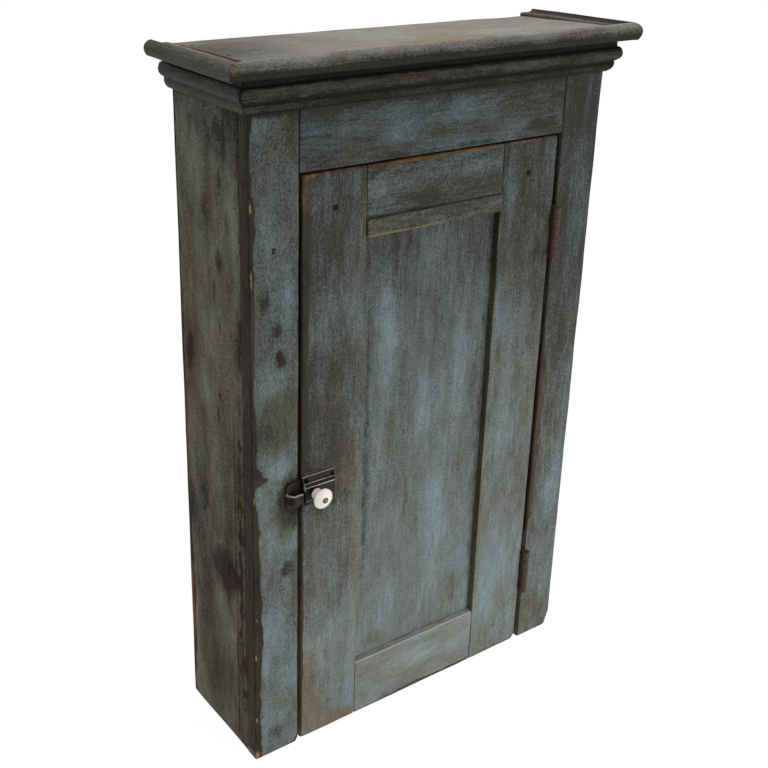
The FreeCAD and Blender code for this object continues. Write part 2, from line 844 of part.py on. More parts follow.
def pegs(name, radius):
    return [peg("%s_%s_%s" % (name, rail, side), rail_z, rail_width, x, radius)
            for rail, rail_z, rail_width in rails
            for side, x in (("lock", "sight_left - peg_inset"),
                            ("hinge", "sight_right + peg_inset"))]


node(group("peg_group", pegs("peg", "peg_radius")), "door_pegs")
peg_holes = group("peg_holes", pegs("peg_hole", "peg_hole_radius"))


def panel_groove(name):
    # The room that the panel takes in the frame, with its play.
    return box(name, ("sight_left - panel_tongue", "panel_y", "sight_bottom - panel_tongue"),
               ("sight_width + 2 * panel_tongue", "panel_thickness",
                "sight_top - sight_bottom + 2 * panel_tongue"))


def latch_screws():
    made = []
    far = "latch_width - 2 * latch_screw_inset"
    for column in range(2):
        for row in (-1, 1):
            head = ("door_left + latch_screw_inset + %d * (%s)" % (column, far),
                    "face_y - latch_flange",
                    "knob_z + (%d) * (latch_span / 2 - latch_screw_inset)" % row)
            made.append(countersunk("latch_screw_%d_%d" % (column, row + 1), head, "+y",
                                    "latch_screw_length"))
    node(group("latch_screw_group", [screw for screw, hole in made]), "latch_screws")
    return [hole for screw, hole in made]


latch_holes = latch_screws()


def door_stile(label, left, width, mortise_left, holes):
    blank = box(label + "_blank", (left, "face_y", "door_z"),
                (width, "door_thickness", "door_height"))
    tools = [panel_groove(label + "_groove"), peg_holes] + holes
    for rail, rail_z, rail_width in rails:
        tools.append(rail_tenon("%s_%s_mortise" % (label, rail), mortise_left, rail_z, rail_width))
    node(cut(label + "_cut", blank, tools), label)


def rail_brads():
    brads = []
    span = "(sight_width - 2 * brad_inset) / 2"
    for row in range(3):
        head = ("sight_left + brad_inset + %d * %s" % (row, span),
                "face_y - rail_strip_thickness", "sight_top + rail_strip_height / 2")
        brads.append(cut_nail("brad_%d" % row, head, "+y", "brad"))
    return brads


brad_group = node(group("brad_group", rail_brads()), "rail_strip_brads")


def door_rail(rail, rail_z, rail_width):
    label = "door_%s_rail" % rail
    blank = fuse(label + "_blank", [
        box(label + "_board", ("sight_left", "face_y", rail_z),
            ("sight_width", "door_thickness", rail_width)),
        rail_tenon(label + "_lock_tenon", "sight_left - tenon_length", rail_z, rail_width),
        rail_tenon(label + "_hinge_tenon", "sight_right", rail_z, rail_width)])
    groove = box(label + "_groove", ("sight_left", "panel_y", "sight_bottom - panel_tongue"),
                 ("sight_width", "panel_thickness", "sight_top - sight_bottom + 2 * panel_tongue"))
    node(cut(label + "_cut", blank, [groove, peg_holes, brad_group]), label)


def door_panel():
    node(box("panel_board", ("sight_left - panel_reach", "panel_y", "sight_bottom - panel_reach"),
             ("sight_width + 2 * panel_reach", "panel_thickness",
              "sight_top - sight_bottom + 2 * panel_reach")), "door_panel")


def rail_strip():
    strip = box("strip_board", ("sight_left", "face_y - rail_strip_thickness", "sight_top"),
                ("sight_width", "rail_strip_thickness", "rail_strip_height"))
    node(cut("strip_cut", strip, [brad_group]), "door_rail_strip")


door_stile("lock_stile", "door_left", "lock_stile_width", "sight_left - tenon_length", latch_holes)
door_wear = worn_corner("door_wear", "door_right", "door_z", "door_wear_width",
                        "door_wear_height")
door_stile("hinge_stile", "sight_right", "hinge_stile_width", "sight_right",
           door_screw_holes + [door_wear])
for door_rail_row in rails:
    door_rail(*door_rail_row)
door_panel()
rail_strip()


# Turn latch: the knob's crank pin drives the bolt through an upright slot

def latch_case(holes):
    body = new_body("latch_case_body")
    steps = (("0", "latch_span"), ("latch_flange", "latch_span"),
             ("bevel_foot_depth", "bevel_foot_span"), ("ridge_depth", "ridge_span"),
             ("latch_depth", "latch_front_span"))
    upper = [("face_y - " + depth, "knob_z + %s / 2" % span) for depth, span in steps]
    lower = [("face_y - " + depth, "knob_z - %s / 2" % span) for depth, span in reversed(steps)]
    section = outline(new_sketch(body, "YZ_Plane", "latch_section", "door_left"), upper + lower)
    pad(body, section, "latch_width")
    end = "door_left + latch_width"
    bevel = outline(new_sketch(body, "XY_Plane", "latch_end"), [
        (end, "face_y - latch_flange"), (end + " + cut_margin", "face_y - latch_flange"),
        (end + " + cut_margin", "face_y - latch_depth - cut_margin"),
        (end + " - latch_end_bevel", "face_y - latch_depth - cut_margin")])
    pocket_through(body, bevel)
    collar = cylinder("latch_collar", ("knob_x", "face_y - latch_depth", "knob_z"),
                      "collar_radius", "collar_height", "-y")
    blank = fuse("latch_case_blank", [body, collar])
    cavity = box("latch_cavity", ("door_left + latch_wall", "face_y - cavity_depth",
                                  "knob_z - cavity_span / 2"),
                 ("latch_width - 2 * latch_wall - latch_end_bevel", "cavity_depth",
                  "cavity_span"))
    slot_span = "bolt_nose_span + 2 * latch_clearance"
    slot = box("latch_slot", ("door_left",
                              "face_y - bolt_lift - bolt_thickness - latch_clearance",
                              "knob_z - bolt_nose_span / 2 - latch_clearance"),
               ("latch_wall", "bolt_thickness + bolt_lift + latch_clearance", slot_span))
    bearing = cylinder("latch_bearing", ("knob_x", "face_y", "knob_z"), "spindle_hole_radius",
                       "latch_depth + collar_height", "-y")
    node(cut("latch_case_cut", blank, [cavity, slot, bearing] + holes), "latch_case")


def latch_bolt():
    body = new_body("latch_bolt_body")
    shoulder = "latch_wall + bolt_travel + latch_clearance - knob_inset"
    tail = shoulder + " + bolt_body_length"
    nose = outline(new_sketch(body, "XZ_Plane", "bolt_outline", "bolt_lift"), [
        ("-knob_inset", "bolt_nose_span / 2"), ("-knob_inset", "-bolt_nose_span / 2"),
        (shoulder, "-bolt_nose_span / 2"), (shoulder, "-bolt_body_span / 2"),
        (tail, "-bolt_body_span / 2"), (tail, "bolt_body_span / 2"),
        (shoulder, "bolt_body_span / 2"), (shoulder, "bolt_nose_span / 2")])
    pad(body, nose, "bolt_thickness")
    reach = "crank_pin_radius + latch_clearance"
    yoke = outline(new_sketch(body, "XZ_Plane", "bolt_yoke"), [
        ("crank_x - (%s)" % reach, "crank_z + (%s)" % reach),
        ("crank_x + (%s)" % reach, "crank_z + (%s)" % reach),
        ("crank_x + (%s)" % reach, "-crank_radius - (%s)" % reach),
        ("crank_x - (%s)" % reach, "-crank_radius - (%s)" % reach)])
    pocket_through(body, yoke)
    place(body, "knob_x", "face_y", "knob_z")
    node(body, "latch_bolt")


def knob_spindle():
    shaft = cylinder("spindle_shaft", ("knob_x", "face_y - hub_depth", "knob_z"),
                     "spindle_radius", "spindle_end - hub_depth", "-y")
    hub = cylinder("spindle_hub", ("knob_x", "face_y - hub_depth", "knob_z"),
                   "hub_radius", "hub_thickness", "-y")
    crank = cylinder("spindle_crank", ("knob_x + crank_x", "face_y - bolt_lift - latch_clearance",
                                       "knob_z + crank_z"),
                     "crank_pin_radius", "hub_depth - bolt_lift", "-y")
    node(fuse("spindle_fuse", [shaft, hub, crank]), "knob_spindle")


def porcelain_knob():
    body = new_body("knob_body")
    front = "-knob_front"
    neck = "-(knob_seat + knob_neck_length)"
    rim = "-(knob_seat + knob_rim_length)"
    brow = "-(knob_seat + knob_rim_length + knob_rim_thickness)"
    profile = outline(new_sketch(body, "XY_Plane", "knob_profile"), [
        ("spindle_hole_radius", "-knob_seat"), ("knob_foot_radius", "-knob_seat"),
        ("knob_neck_radius", neck, "knob_radius", 1),
        ("knob_radius", rim), ("knob_radius", brow, "knob_crown", -1),
        ("rivet_head_radius", front), ("spindle_hole_radius", front)])
    revolve(body, profile)
    place(body, "knob_x", "face_y", "knob_z")
    node(body, "porcelain_knob")


def knob_rivet():
    body = new_body("rivet_body")
    front = "-knob_front"
    crown = "(rivet_head_radius ^ 2 + rivet_head_height ^ 2) / (2 * rivet_head_height)"
    profile = outline(new_sketch(body, "XY_Plane", "rivet_profile"), [
        ("0", "-spindle_end"), ("spindle_radius", "-spindle_end"), ("spindle_radius", front),
        ("rivet_head_radius", front, crown, -1), ("0", front + " - rivet_head_height")])
    revolve(body, profile)
    place(body, "knob_x", "face_y", "knob_z")
    node(body, "knob_rivet")


latch_case(latch_holes)
latch_bolt()
knob_spindle()
porcelain_knob()
knob_rivet()

doc.recompute()

failed = [item.Name for item in doc.Objects
          if "Invalid" in item.State or "Error" in item.State]
failed += [item.Label for item in nodes if item.Shape.isNull() or not item.Shape.isValid()]
if failed:
    raise RuntimeError("not built: " + ", ".join(failed))

os.makedirs("parts", exist_ok=True)
for item in nodes:
    item.Shape.exportStep("parts/%s.step" % item.Label)
    print("%-24s solids %2d  volume %10.1f" % (item.Label, len(item.Shape.Solids),
                                              item.Shape.Volume))
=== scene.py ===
import math
import bmesh
import bpy
import numpy as np
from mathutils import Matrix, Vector


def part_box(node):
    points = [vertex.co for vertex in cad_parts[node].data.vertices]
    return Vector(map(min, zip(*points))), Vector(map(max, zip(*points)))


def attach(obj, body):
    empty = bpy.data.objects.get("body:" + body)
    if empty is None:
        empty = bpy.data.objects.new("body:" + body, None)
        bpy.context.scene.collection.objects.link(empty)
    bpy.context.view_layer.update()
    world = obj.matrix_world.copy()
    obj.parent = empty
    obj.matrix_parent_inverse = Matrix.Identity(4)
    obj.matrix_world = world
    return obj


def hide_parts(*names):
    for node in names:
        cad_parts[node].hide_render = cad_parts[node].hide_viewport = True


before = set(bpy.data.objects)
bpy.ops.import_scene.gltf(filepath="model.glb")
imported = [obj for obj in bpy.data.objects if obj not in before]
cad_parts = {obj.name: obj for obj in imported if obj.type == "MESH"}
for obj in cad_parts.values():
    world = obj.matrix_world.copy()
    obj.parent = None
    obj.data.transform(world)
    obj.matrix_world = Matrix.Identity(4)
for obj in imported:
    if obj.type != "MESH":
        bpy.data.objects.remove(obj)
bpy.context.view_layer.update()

print("frame loaded with", len(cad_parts), "nodes")

# lower left front corner of the case: marks on the boards are given in mm from it
corner = np.array(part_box("left_stile")[0])
baseZ = corner[2] * 1000
scene = bpy.context.scene


def linear(hexColour):
    # sRGB hex to linear colour
    part = np.array([int(hexColour[k:k + 2], 16) / 255 for k in (1, 3, 5)])
    part = np.where(part <= 0.04045, part / 12.92, ((part + 0.055) / 1.055) ** 2.4)
    return (*part, 1.0)


def put(tree, kind, wires, **settings):
    # adds one shader node: wires fill its sockets with a value or a link
    node = tree.nodes.new("ShaderNode" + kind)
    for key, value in settings.items():
        setattr(node, key, value)
    for key, value in wires.items():
        if isinstance(value, bpy.types.NodeSocket):
            tree.links.new(value, node.inputs[key])
        else:
            node.inputs[key].default_value = value
    return node


def combine(tree, operation, *values, **settings):
    wires = dict(enumerate(values))
    return put(tree, "Math", wires, operation=operation, **settings).outputs[0]


def ramp(tree, value, start, end, low=0, high=1, **settings):
    # low at start, high at end, held beyond them
    wires = {0: value, 1: start, 2: end, 3: low, 4: high}
    return put(tree, "MapRange", wires, **settings).outputs[0]


def mixColour(tree, amount, *colours):
    # from the first colour to the second; a colour is hex or a link
    wires = {0: amount}
    for socket, colour in zip((6, 7), colours):
        wires[socket] = linear(colour) if isinstance(colour, str) else colour
    return put(tree, "Mix", wires, data_type="RGBA").outputs[2]


def noise(tree, place, scale, detail, rough):
    wires = {"Vector": place, "Scale": scale, "Detail": detail, "Roughness": rough}
    return put(tree, "TexNoise", wires).outputs["Fac"]


def alongGrain(tree, place, grain, longer, shift=(0, 0, 0)):
    # place in mm, pressed together along the grain, so that noise on it is drawn out
    scale = [1000 / (longer if axis == grain else 1) for axis in range(3)]
    wires = {"Vector": place, "Scale": scale, "Location": shift}
    return put(tree, "Mapping", wires).outputs[0]


def bump(tree, height, strength, distance):
    wires = {"Height": height, "Strength": strength, "Distance": distance}
    return put(tree, "Bump", wires).outputs[0]


def newMaterial(name):
    material = bpy.data.materials.new(name)
    material.use_nodes = True
    material.node_tree.nodes.clear()
    return material, material.node_tree


def objectPlace(tree):
    return put(tree, "TexCoord", {}).outputs["Object"]


def attributeParts(tree, name):
    colour = put(tree, "Attribute", {}, attribute_name=name).outputs["Color"]
    return put(tree, "SeparateColor", {"Color": colour}).outputs


def finishSurface(tree, wires):
    shine = put(tree, "BsdfPrincipled", wires)
    put(tree, "OutputMaterial", {"Surface": shine.outputs[0]})


# Milk paint brushed on pine: a matt, chalky blue-grey coat, gone cloudy with age, rubbed with
# grime along the grain, chipped in places and worn through to brown wood along the arrises.
paint = {"dull": "#8c8e85", "blue": "#899c9c", "violet": "#8f8a94", "olive": "#7c7a5e",
         "grimeAndShade": "#272621", "stain": "#706749", "woodBrown": "#33291f", "woodRust": "#5b412d",
         "woodOchre": "#96703f", "smoke": "#1f1d19", "base": 0.36, "fine": 1, "cloud": 0.7,
         "speck": 0.55, "streaky": 1, "gloss": 0.3, "roughLow": 0.58, "roughHigh": 0.86,
         "relief": 0.6, "reliefDepth": 0.0007, "paleHue": 0.25, "woodStreak": 0.8,
         "freshStreak": 1, "smokeGrit": -1.2, "smokeBand": -1.6, "mottleRelief": 0.6,
         "bareRelief": -0.45}
# noise: width in mm, times longer along the grain, detail, roughness
patterns = {"streak": (2.2, 14, 5, 0.72), "band": (9, 8, 5, 0.65), "mottle": (8, 1.8, 7, 0.78),
            "patch": (46, 2.4, 6, 0.62), "tint": (24, 1.7, 6, 0.68),
            "grit": (2.0, 1.5, 4, 0.75), "ragged": (7, 3, 7, 0.7)}
patternShift = (137, 0, 59)
# where a layer starts and where it is full, then its least and its most cover
covers = {"blue": (-0.14, 0.16), "violet": (0, 0.2, 0, 0.75),
          "olive": (-0.04, -0.22, 0, 0.7), "flake": (0.3, 0.38, 0, 0.75),
          "stain": (0.1, 0.8, 0, 0.8), "soot": (0, 1), "speck": (-0.17, -0.24),
          "bare": (0.46, 0.56), "rust": (-0.38, 0.48), "ochre": (0.2, 0.75),
          "smoke": (-0.2, 0.9), "rough": (-0.25, 0.25)}
# how far ragged noise frays the edges of a mark, and what each pattern or layer adds to the grime and
# painted shade
fray = {"pale": 1.2, "stain": 1.4, "soot": 1.5, "wear": 1.2}
grimeAndShadeShare = {"streak": -0.75, "grit": -1.5, "band": -0.45, "mottle": -0.7, "patch": -1,
              "pale": -0.25, "soot": 0.44}


def paintedPine(name, grain, change):
    tone = {**paint, **change}
    material, tree = newMaterial(name)
    place = objectPlace(tree)
    pale, soot, stain = attributeParts(tree, "coat")
    wear, fresh, smoke = attributeParts(tree, "worn")
    field = {}
    for number, (label, (width, longer, detail, rough)) in enumerate(patterns.items()):
        at = alongGrain(tree, place, grain, longer, [way * number for way in patternShift])
        cloud = noise(tree, at, 1 / width, detail, rough)
        field[label] = combine(tree, "SUBTRACT", cloud, 0.5)  # swings about zero

    def add(first, second, gain):
        return combine(tree, "MULTIPLY_ADD", second, gain, first)

    def frayed(label, mark):
        return add(mark, field["ragged"], fray[label])

    def cover(label, value, *ends):
        return ramp(tree, value, *covers[label], *ends, interpolation_type="SMOOTHSTEP")

    def lay(label, value, below, above):
        return mixColour(tree, cover(label, value), below, above)

    # hues drift over each other in clouds; a fresher coat shows with sharp edges where it is pale
    coat = lay("blue", add(field["patch"], pale, tone["paleHue"]), tone["dull"], tone["blue"])
    for label in ("violet", "olive"):
        coat = lay(label, field["tint"], coat, tone[label])
    coat = lay("flake", frayed("pale", pale), coat, tone["blue"])
    coat = lay("stain", frayed("stain", stain), coat, tone["stain"])
    # grime and painted shade lie where the patterns are low, in the soot-and-shade and smoke-and-shade
    # marks and in specks
    dark = add(smoke, field["streak"], grimeAndShadeShare["streak"] * tone["fine"] * tone["streaky"])
    dark = add(dark, field["grit"], grimeAndShadeShare["grit"] * tone["fine"])
    dark = add(dark, field["band"], grimeAndShadeShare["band"] * tone["fine"] * tone["streaky"])
    dark = add(dark, field["mottle"], grimeAndShadeShare["mottle"] * tone["fine"])
    dark = add(dark, field["patch"], grimeAndShadeShare["patch"] * tone["cloud"])
    dark = add(dark, pale, grimeAndShadeShare["pale"])
    dark = add(dark, cover("soot", frayed("soot", soot)), grimeAndShadeShare["soot"])
    dark = add(dark, cover("speck", field["grit"]), tone["speck"])
    dark = combine(tree, "ADD", dark, tone["base"], use_clamp=True)
    coat = mixColour(tree, dark, coat, tone["grimeAndShade"])
    # bare wood: brown to rust in bands, ochre where it is fresh, dark with smoke and painted shade
    bare = cover("bare", frayed("wear", wear))
    banded = add(field["band"], field["streak"], tone["woodStreak"])
    wood = lay("rust", banded, tone["woodBrown"], tone["woodRust"])
    freshened = add(fresh, field["streak"], tone["freshStreak"])
    wood = lay("ochre", freshened, wood, tone["woodOchre"])
    smokedAndShaded = add(smoke, field["grit"], tone["smokeGrit"])
    smokedAndShaded = add(smokedAndShaded, field["band"], tone["smokeBand"])
    wood = lay("smoke", smokedAndShaded, wood, tone["smoke"])
    relief = add(field["streak"], field["mottle"], tone["mottleRelief"])
    relief = add(relief, bare, tone["bareRelief"])
    finishSurface(tree, {
        "Base Color": mixColour(tree, bare, coat, wood), "Specular IOR Level": tone["gloss"],
        "Normal": bump(tree, relief, tone["relief"], tone["reliefDepth"]),
        "Roughness": cover("rough", field["mottle"], tone["roughLow"], tone["roughHigh"])})
    return material


# Old pine left bare, planed: brown, with darker late-wood lines and a dusty, dry surface.
# Lines are (width in mm, times longer along the grain).
pine = {"lines": ((4, 30), (1.2, 24), (90, 3)), "detail": 4, "lineRough": 0.6,
        "late": (1.2, 1.8), "rough": 0.8, "relief": 0.4, "reliefDepth": 0.0004}


def barePine(name, grain, early, late):
    material, tree = newMaterial(name)
    place = objectPlace(tree)
    wide, fine, cloud = (noise(tree, alongGrain(tree, place, grain, longer), 1 / width,
                               pine["detail"], pine["lineRough"])
                         for width, longer in pine["lines"])
    mixed = combine(tree, "ADD", combine(tree, "ADD", wide, fine), cloud)
    finishSurface(tree, {
        "Base Color": mixColour(tree, ramp(tree, mixed, *pine["late"]), early, late),
        "Normal": bump(tree, fine, pine["relief"], pine["reliefDepth"]),
        "Roughness": pine["rough"]})
    return material


# Iron: grains of two tones a few mm wide, with pits that catch no light. The glaze of the knob is
# made the same way, almost without pits.
iron = {"grainDetail": 6, "grainRough": 0.65, "tones": (0.36, 0.64), "pitsPerGrain": 3,
        "pitDetail": 3, "pitRough": 0.6, "pitRange": (0.3, 0.7), "pitDepth": 0.0004,
        "smoother": 0.75, "rougher": 1.2}


def agedIron(name, first, second, grain, rough, metallic, relief):
    material, tree = newMaterial(name)
    place = objectPlace(tree)
    grains = noise(tree, place, 1000 / grain, iron["grainDetail"], iron["grainRough"])
    pits = noise(tree, place, 1000 * iron["pitsPerGrain"] / grain, iron["pitDetail"], iron["pitRough"])
    finishSurface(tree, {
        "Base Color": mixColour(tree, ramp(tree, grains, *iron["tones"]), first, second),
        "Roughness": ramp(tree, pits, *iron["pitRange"], rough * iron["smoother"], rough * iron["rougher"]),
        "Metallic": metallic, "Normal": bump(tree, pits, relief, iron["pitDepth"])})
    return material


# Cast iron under black japan: dark and half glossy, with painted highlights as pale lines along raised
# edges.
# An edge is (point in mm, weight of each axis in the distance from it, half width in mm).
japan = {"scale": 260, "detail": 4, "grainRough": 0.6, "highlightColour": "#cfc8bb", "gloss": 0.18,
         "rough": 0.42, "relief": 0.25, "reliefDepth": 0.0004,
         "broken": (0.36, 0.5, 0.35, 1)}  # the painted highlight is broken up by the grain


def japannedIron(name, first, second, edges):
    material, tree = newMaterial(name)
    place = objectPlace(tree)
    grain = noise(tree, place, japan["scale"], japan["detail"], japan["grainRough"])
    paintedHighlight = 0
    # painted highlight: a pale line along each given edge
    for spot, weights, width in edges:
        spot = [mm / 1000 for mm in spot]
        shift = put(tree, "VectorMath", {0: place, 1: spot}, operation="SUBTRACT").outputs[0]
        shift = put(tree, "VectorMath", {0: shift, 1: weights}, operation="MULTIPLY").outputs[0]
        far = put(tree, "VectorMath", {0: shift}, operation="LENGTH").outputs["Value"]
        near = ramp(tree, far, width / 2500, width / 1000, 1, 0)
        paintedHighlight = combine(tree, "MAXIMUM", paintedHighlight, near)
    paintedHighlight = combine(tree, "MULTIPLY", paintedHighlight, ramp(tree, grain, *japan["broken"]))
    black = mixColour(tree, grain, first, second)
    finishSurface(tree, {
        "Base Color": mixColour(tree, paintedHighlight, black, japan["highlightColour"]), "Roughness": japan["rough"],
        "Specular IOR Level": japan["gloss"],
        "Normal": bump(tree, grain, japan["relief"], japan["reliefDepth"])})
    return material


# Oak pegs under the paint: nearly black near the top, greyed with the paint near the foot, and
# bare brown at the ends inside the door. Places are in m.
peg = {"foot": -0.7, "head": -0.2, "paintEnds": (-0.146, -0.144), "rough": 0.85, "gloss": 0.1}


def paintedPeg(name, low, high, inside):
    material, tree = newMaterial(name)
    place = put(tree, "SeparateXYZ", {"Vector": objectPlace(tree)}).outputs
    colour = mixColour(tree, ramp(tree, place["Z"], peg["foot"], peg["head"]), low, high)
    colour = mixColour(tree, ramp(tree, place["Y"], *peg["paintEnds"]), colour, inside)
    finishSurface(tree, {"Base Color": colour, "Roughness": peg["rough"],
                         "Specular IOR Level": peg["gloss"]})
    return material


def drift(points, size, seed):
    # smooth noise from 0 to 1: random values on a lattice of the given size, eased between
    at = points / size + 31.7 * seed
    cell = np.floor(at).astype(np.int64)
    ease = at - cell
    ease = ease * ease * (3 - 2 * ease)
    total = np.zeros(len(points))
    for step in np.ndindex(2, 2, 2):
        spot = cell + np.array(step)
        key = (spot * np.array([374761393, 668265263, 2147483629])).sum(1) + seed * 974711
        key = ((key ^ (key >> 13)) & 0xffffffff) * 1274126177 & 0xffffffff
        share = np.prod(np.where(np.array(step), ease, 1 - ease), axis=1)
        total += share * ((key ^ (key >> 16)) & 0xffff) / 65535
    return total


def wander(points, size, seed, least):
    # a factor that drifts about 1, never under least
    return least + (2 - 2 * least) * drift(points, size, seed)


# painted shade: the upper part is darker, where less light falls; heights in mm above the foot of the case
shadeRise = {"from": 80, "over": 650, "amount": 0.44}


def placed(name, data):
    thing = bpy.data.objects.new(name, data)
    scene.collection.objects.link(thing)
    return thing


def meshPiece(name, points, faces, layers, material, body, nodes):
    mesh = bpy.data.meshes.new(name)
    mesh.from_pydata(points.tolist(), [], faces)
    mesh.polygons.foreach_set("use_smooth", np.ones(len(mesh.polygons), bool))
    one = np.ones(len(points))
    height = points[:, 2] * 1000 - baseZ
    # painted shade, growing towards the top
    rise = np.clip((height - shadeRise["from"]) / shadeRise["over"], 0, 1)
    smoke = layers["smoke"] + shadeRise["amount"] * rise
    coat = np.stack([layers["pale"], layers["soot"], layers["stain"], one], 1)
    worn = np.stack([layers["wear"], layers["fresh"], smoke, one], 1)
    for label, values in (("coat", coat), ("worn", worn)):
        data = mesh.attributes.new(label, "FLOAT_COLOR", "POINT").data
        data.foreach_set("color", values.astype(np.float32).ravel())
    mesh.materials.append(material)
    mesh.update()
    piece = placed(name, mesh)
    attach(piece, body)
    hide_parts(*nodes)
    return piece


def blankLayers(count):
    return {label: np.zeros(count) for label in "pale soot stain wear fresh smoke".split()}


# edges of marks: how ragged, how steep, and what a mark's lesser half in mm is divided by for the
# size of its ragged lumps in m
markEdge = {"ragged": 0.7, "steep": 1.5, "lumps": 900, "seed": 20}


def addMarks(layers, points, look):
    # each mark is a soft ellipse (layer, across, up, half width, half height, amount) in mm
    place = (points - corner) * 1000
    across, up = (place[:, axis] for axis in look["plane"])
    seed = look["seed"] + markEdge["seed"]
    for number, (label, u, v, wide, tall, amount) in enumerate(look["marks"]):
        ragged = drift(points, min(wide, tall) / markEdge["lumps"], seed + number) - 0.5
        reach = np.hypot((across - u) / wide, (up - v) / tall) + markEdge["ragged"] * ragged
        layers[label] += amount * np.clip(markEdge["steep"] - markEdge["steep"] * reach, 0, 1)


# lines of a board's grid beside each arris, in mm from it
arrisLines = (0, 0.4, 0.9, 1.6, 2.6, 4.0, 6.0)


def spacing(low, high, step, extra):
    # places along one axis: close together at both arrises, even between them
    close = np.array(arrisLines) / 1000
    close = close[close < 0.45 * (high - low)]
    even = np.linspace(low, high, max(2, int((high - low) / step)) + 1)
    even = even[(even > low + close[-1] + step / 3) & (even < high - close[-1] - step / 3)]
    return np.unique(np.round(np.concatenate([low + close, even, high - close, extra]), 7))


def boxSkin(places):
    # six grids over the faces of a box, welded where they meet
    sheets, faces, start = [], [], 0
    for axis in range(3):
        u, v = (axis + 1) % 3, (axis + 2) % 3
        for side in (0, -1):
            grid = np.empty((len(places[u]), len(places[v]), 3))
            grid[..., axis] = places[axis][side]
            grid[..., u] = places[u][:, None]
            grid[..., v] = places[v][None, :]
            order = np.arange(grid.size // 3).reshape(grid.shape[:2]) + start
            quads = np.stack([order[:-1, :-1], order[1:, :-1], order[1:, 1:], order[:-1, 1:]], -1)
            faces.append(quads.reshape(-1, 4)[:, ::1 if side else -1])
            sheets.append(grid.reshape(-1, 3))
            start += grid.size // 3
    points = np.concatenate(sheets)
    keys = np.round(points * 1e7).astype(np.int64)
    first, index = np.unique(keys, axis=0, return_index=True, return_inverse=True)[1:]
    return points[first], index.reshape(-1)[np.concatenate(faces)]


# What a board has unless its own dictionary says otherwise, in mm; lumps and waves are in m.
# An arris is (its two faces, more radius, width of the wear, wear, fresh wood), a face is (face,
# layer, amount), worn is the (width, height) lost at the lower right corner.
board = {"inside": "back", "grain": 2, "trim": (0, 0, 0), "step": 3.5, "extra": {}, "round": 1.1,
         "roundLump": 0.035, "arris": [], "arrisLump": 0.045, "wearLump": 0.06, "edgeWear": 0.45,
         "edgeWidth": 1.4, "edgeFresh": 0.05, "freshWidth": 3, "faces": [], "onFace": 1e-4, "smoke": 0,
         "plane": (0, 2), "marks": [], "unpainted": 0, "bareWear": 1.4, "bareSmoke": -0.5,
         "keenFoot": 0, "keenest": 0.25, "wave": 0.5, "waveAcross": 0.05, "waveAlong": 0.22,
         "ripple": {}, "rippleReach": 3, "crack": {}, "worn": (), "paint": {}}


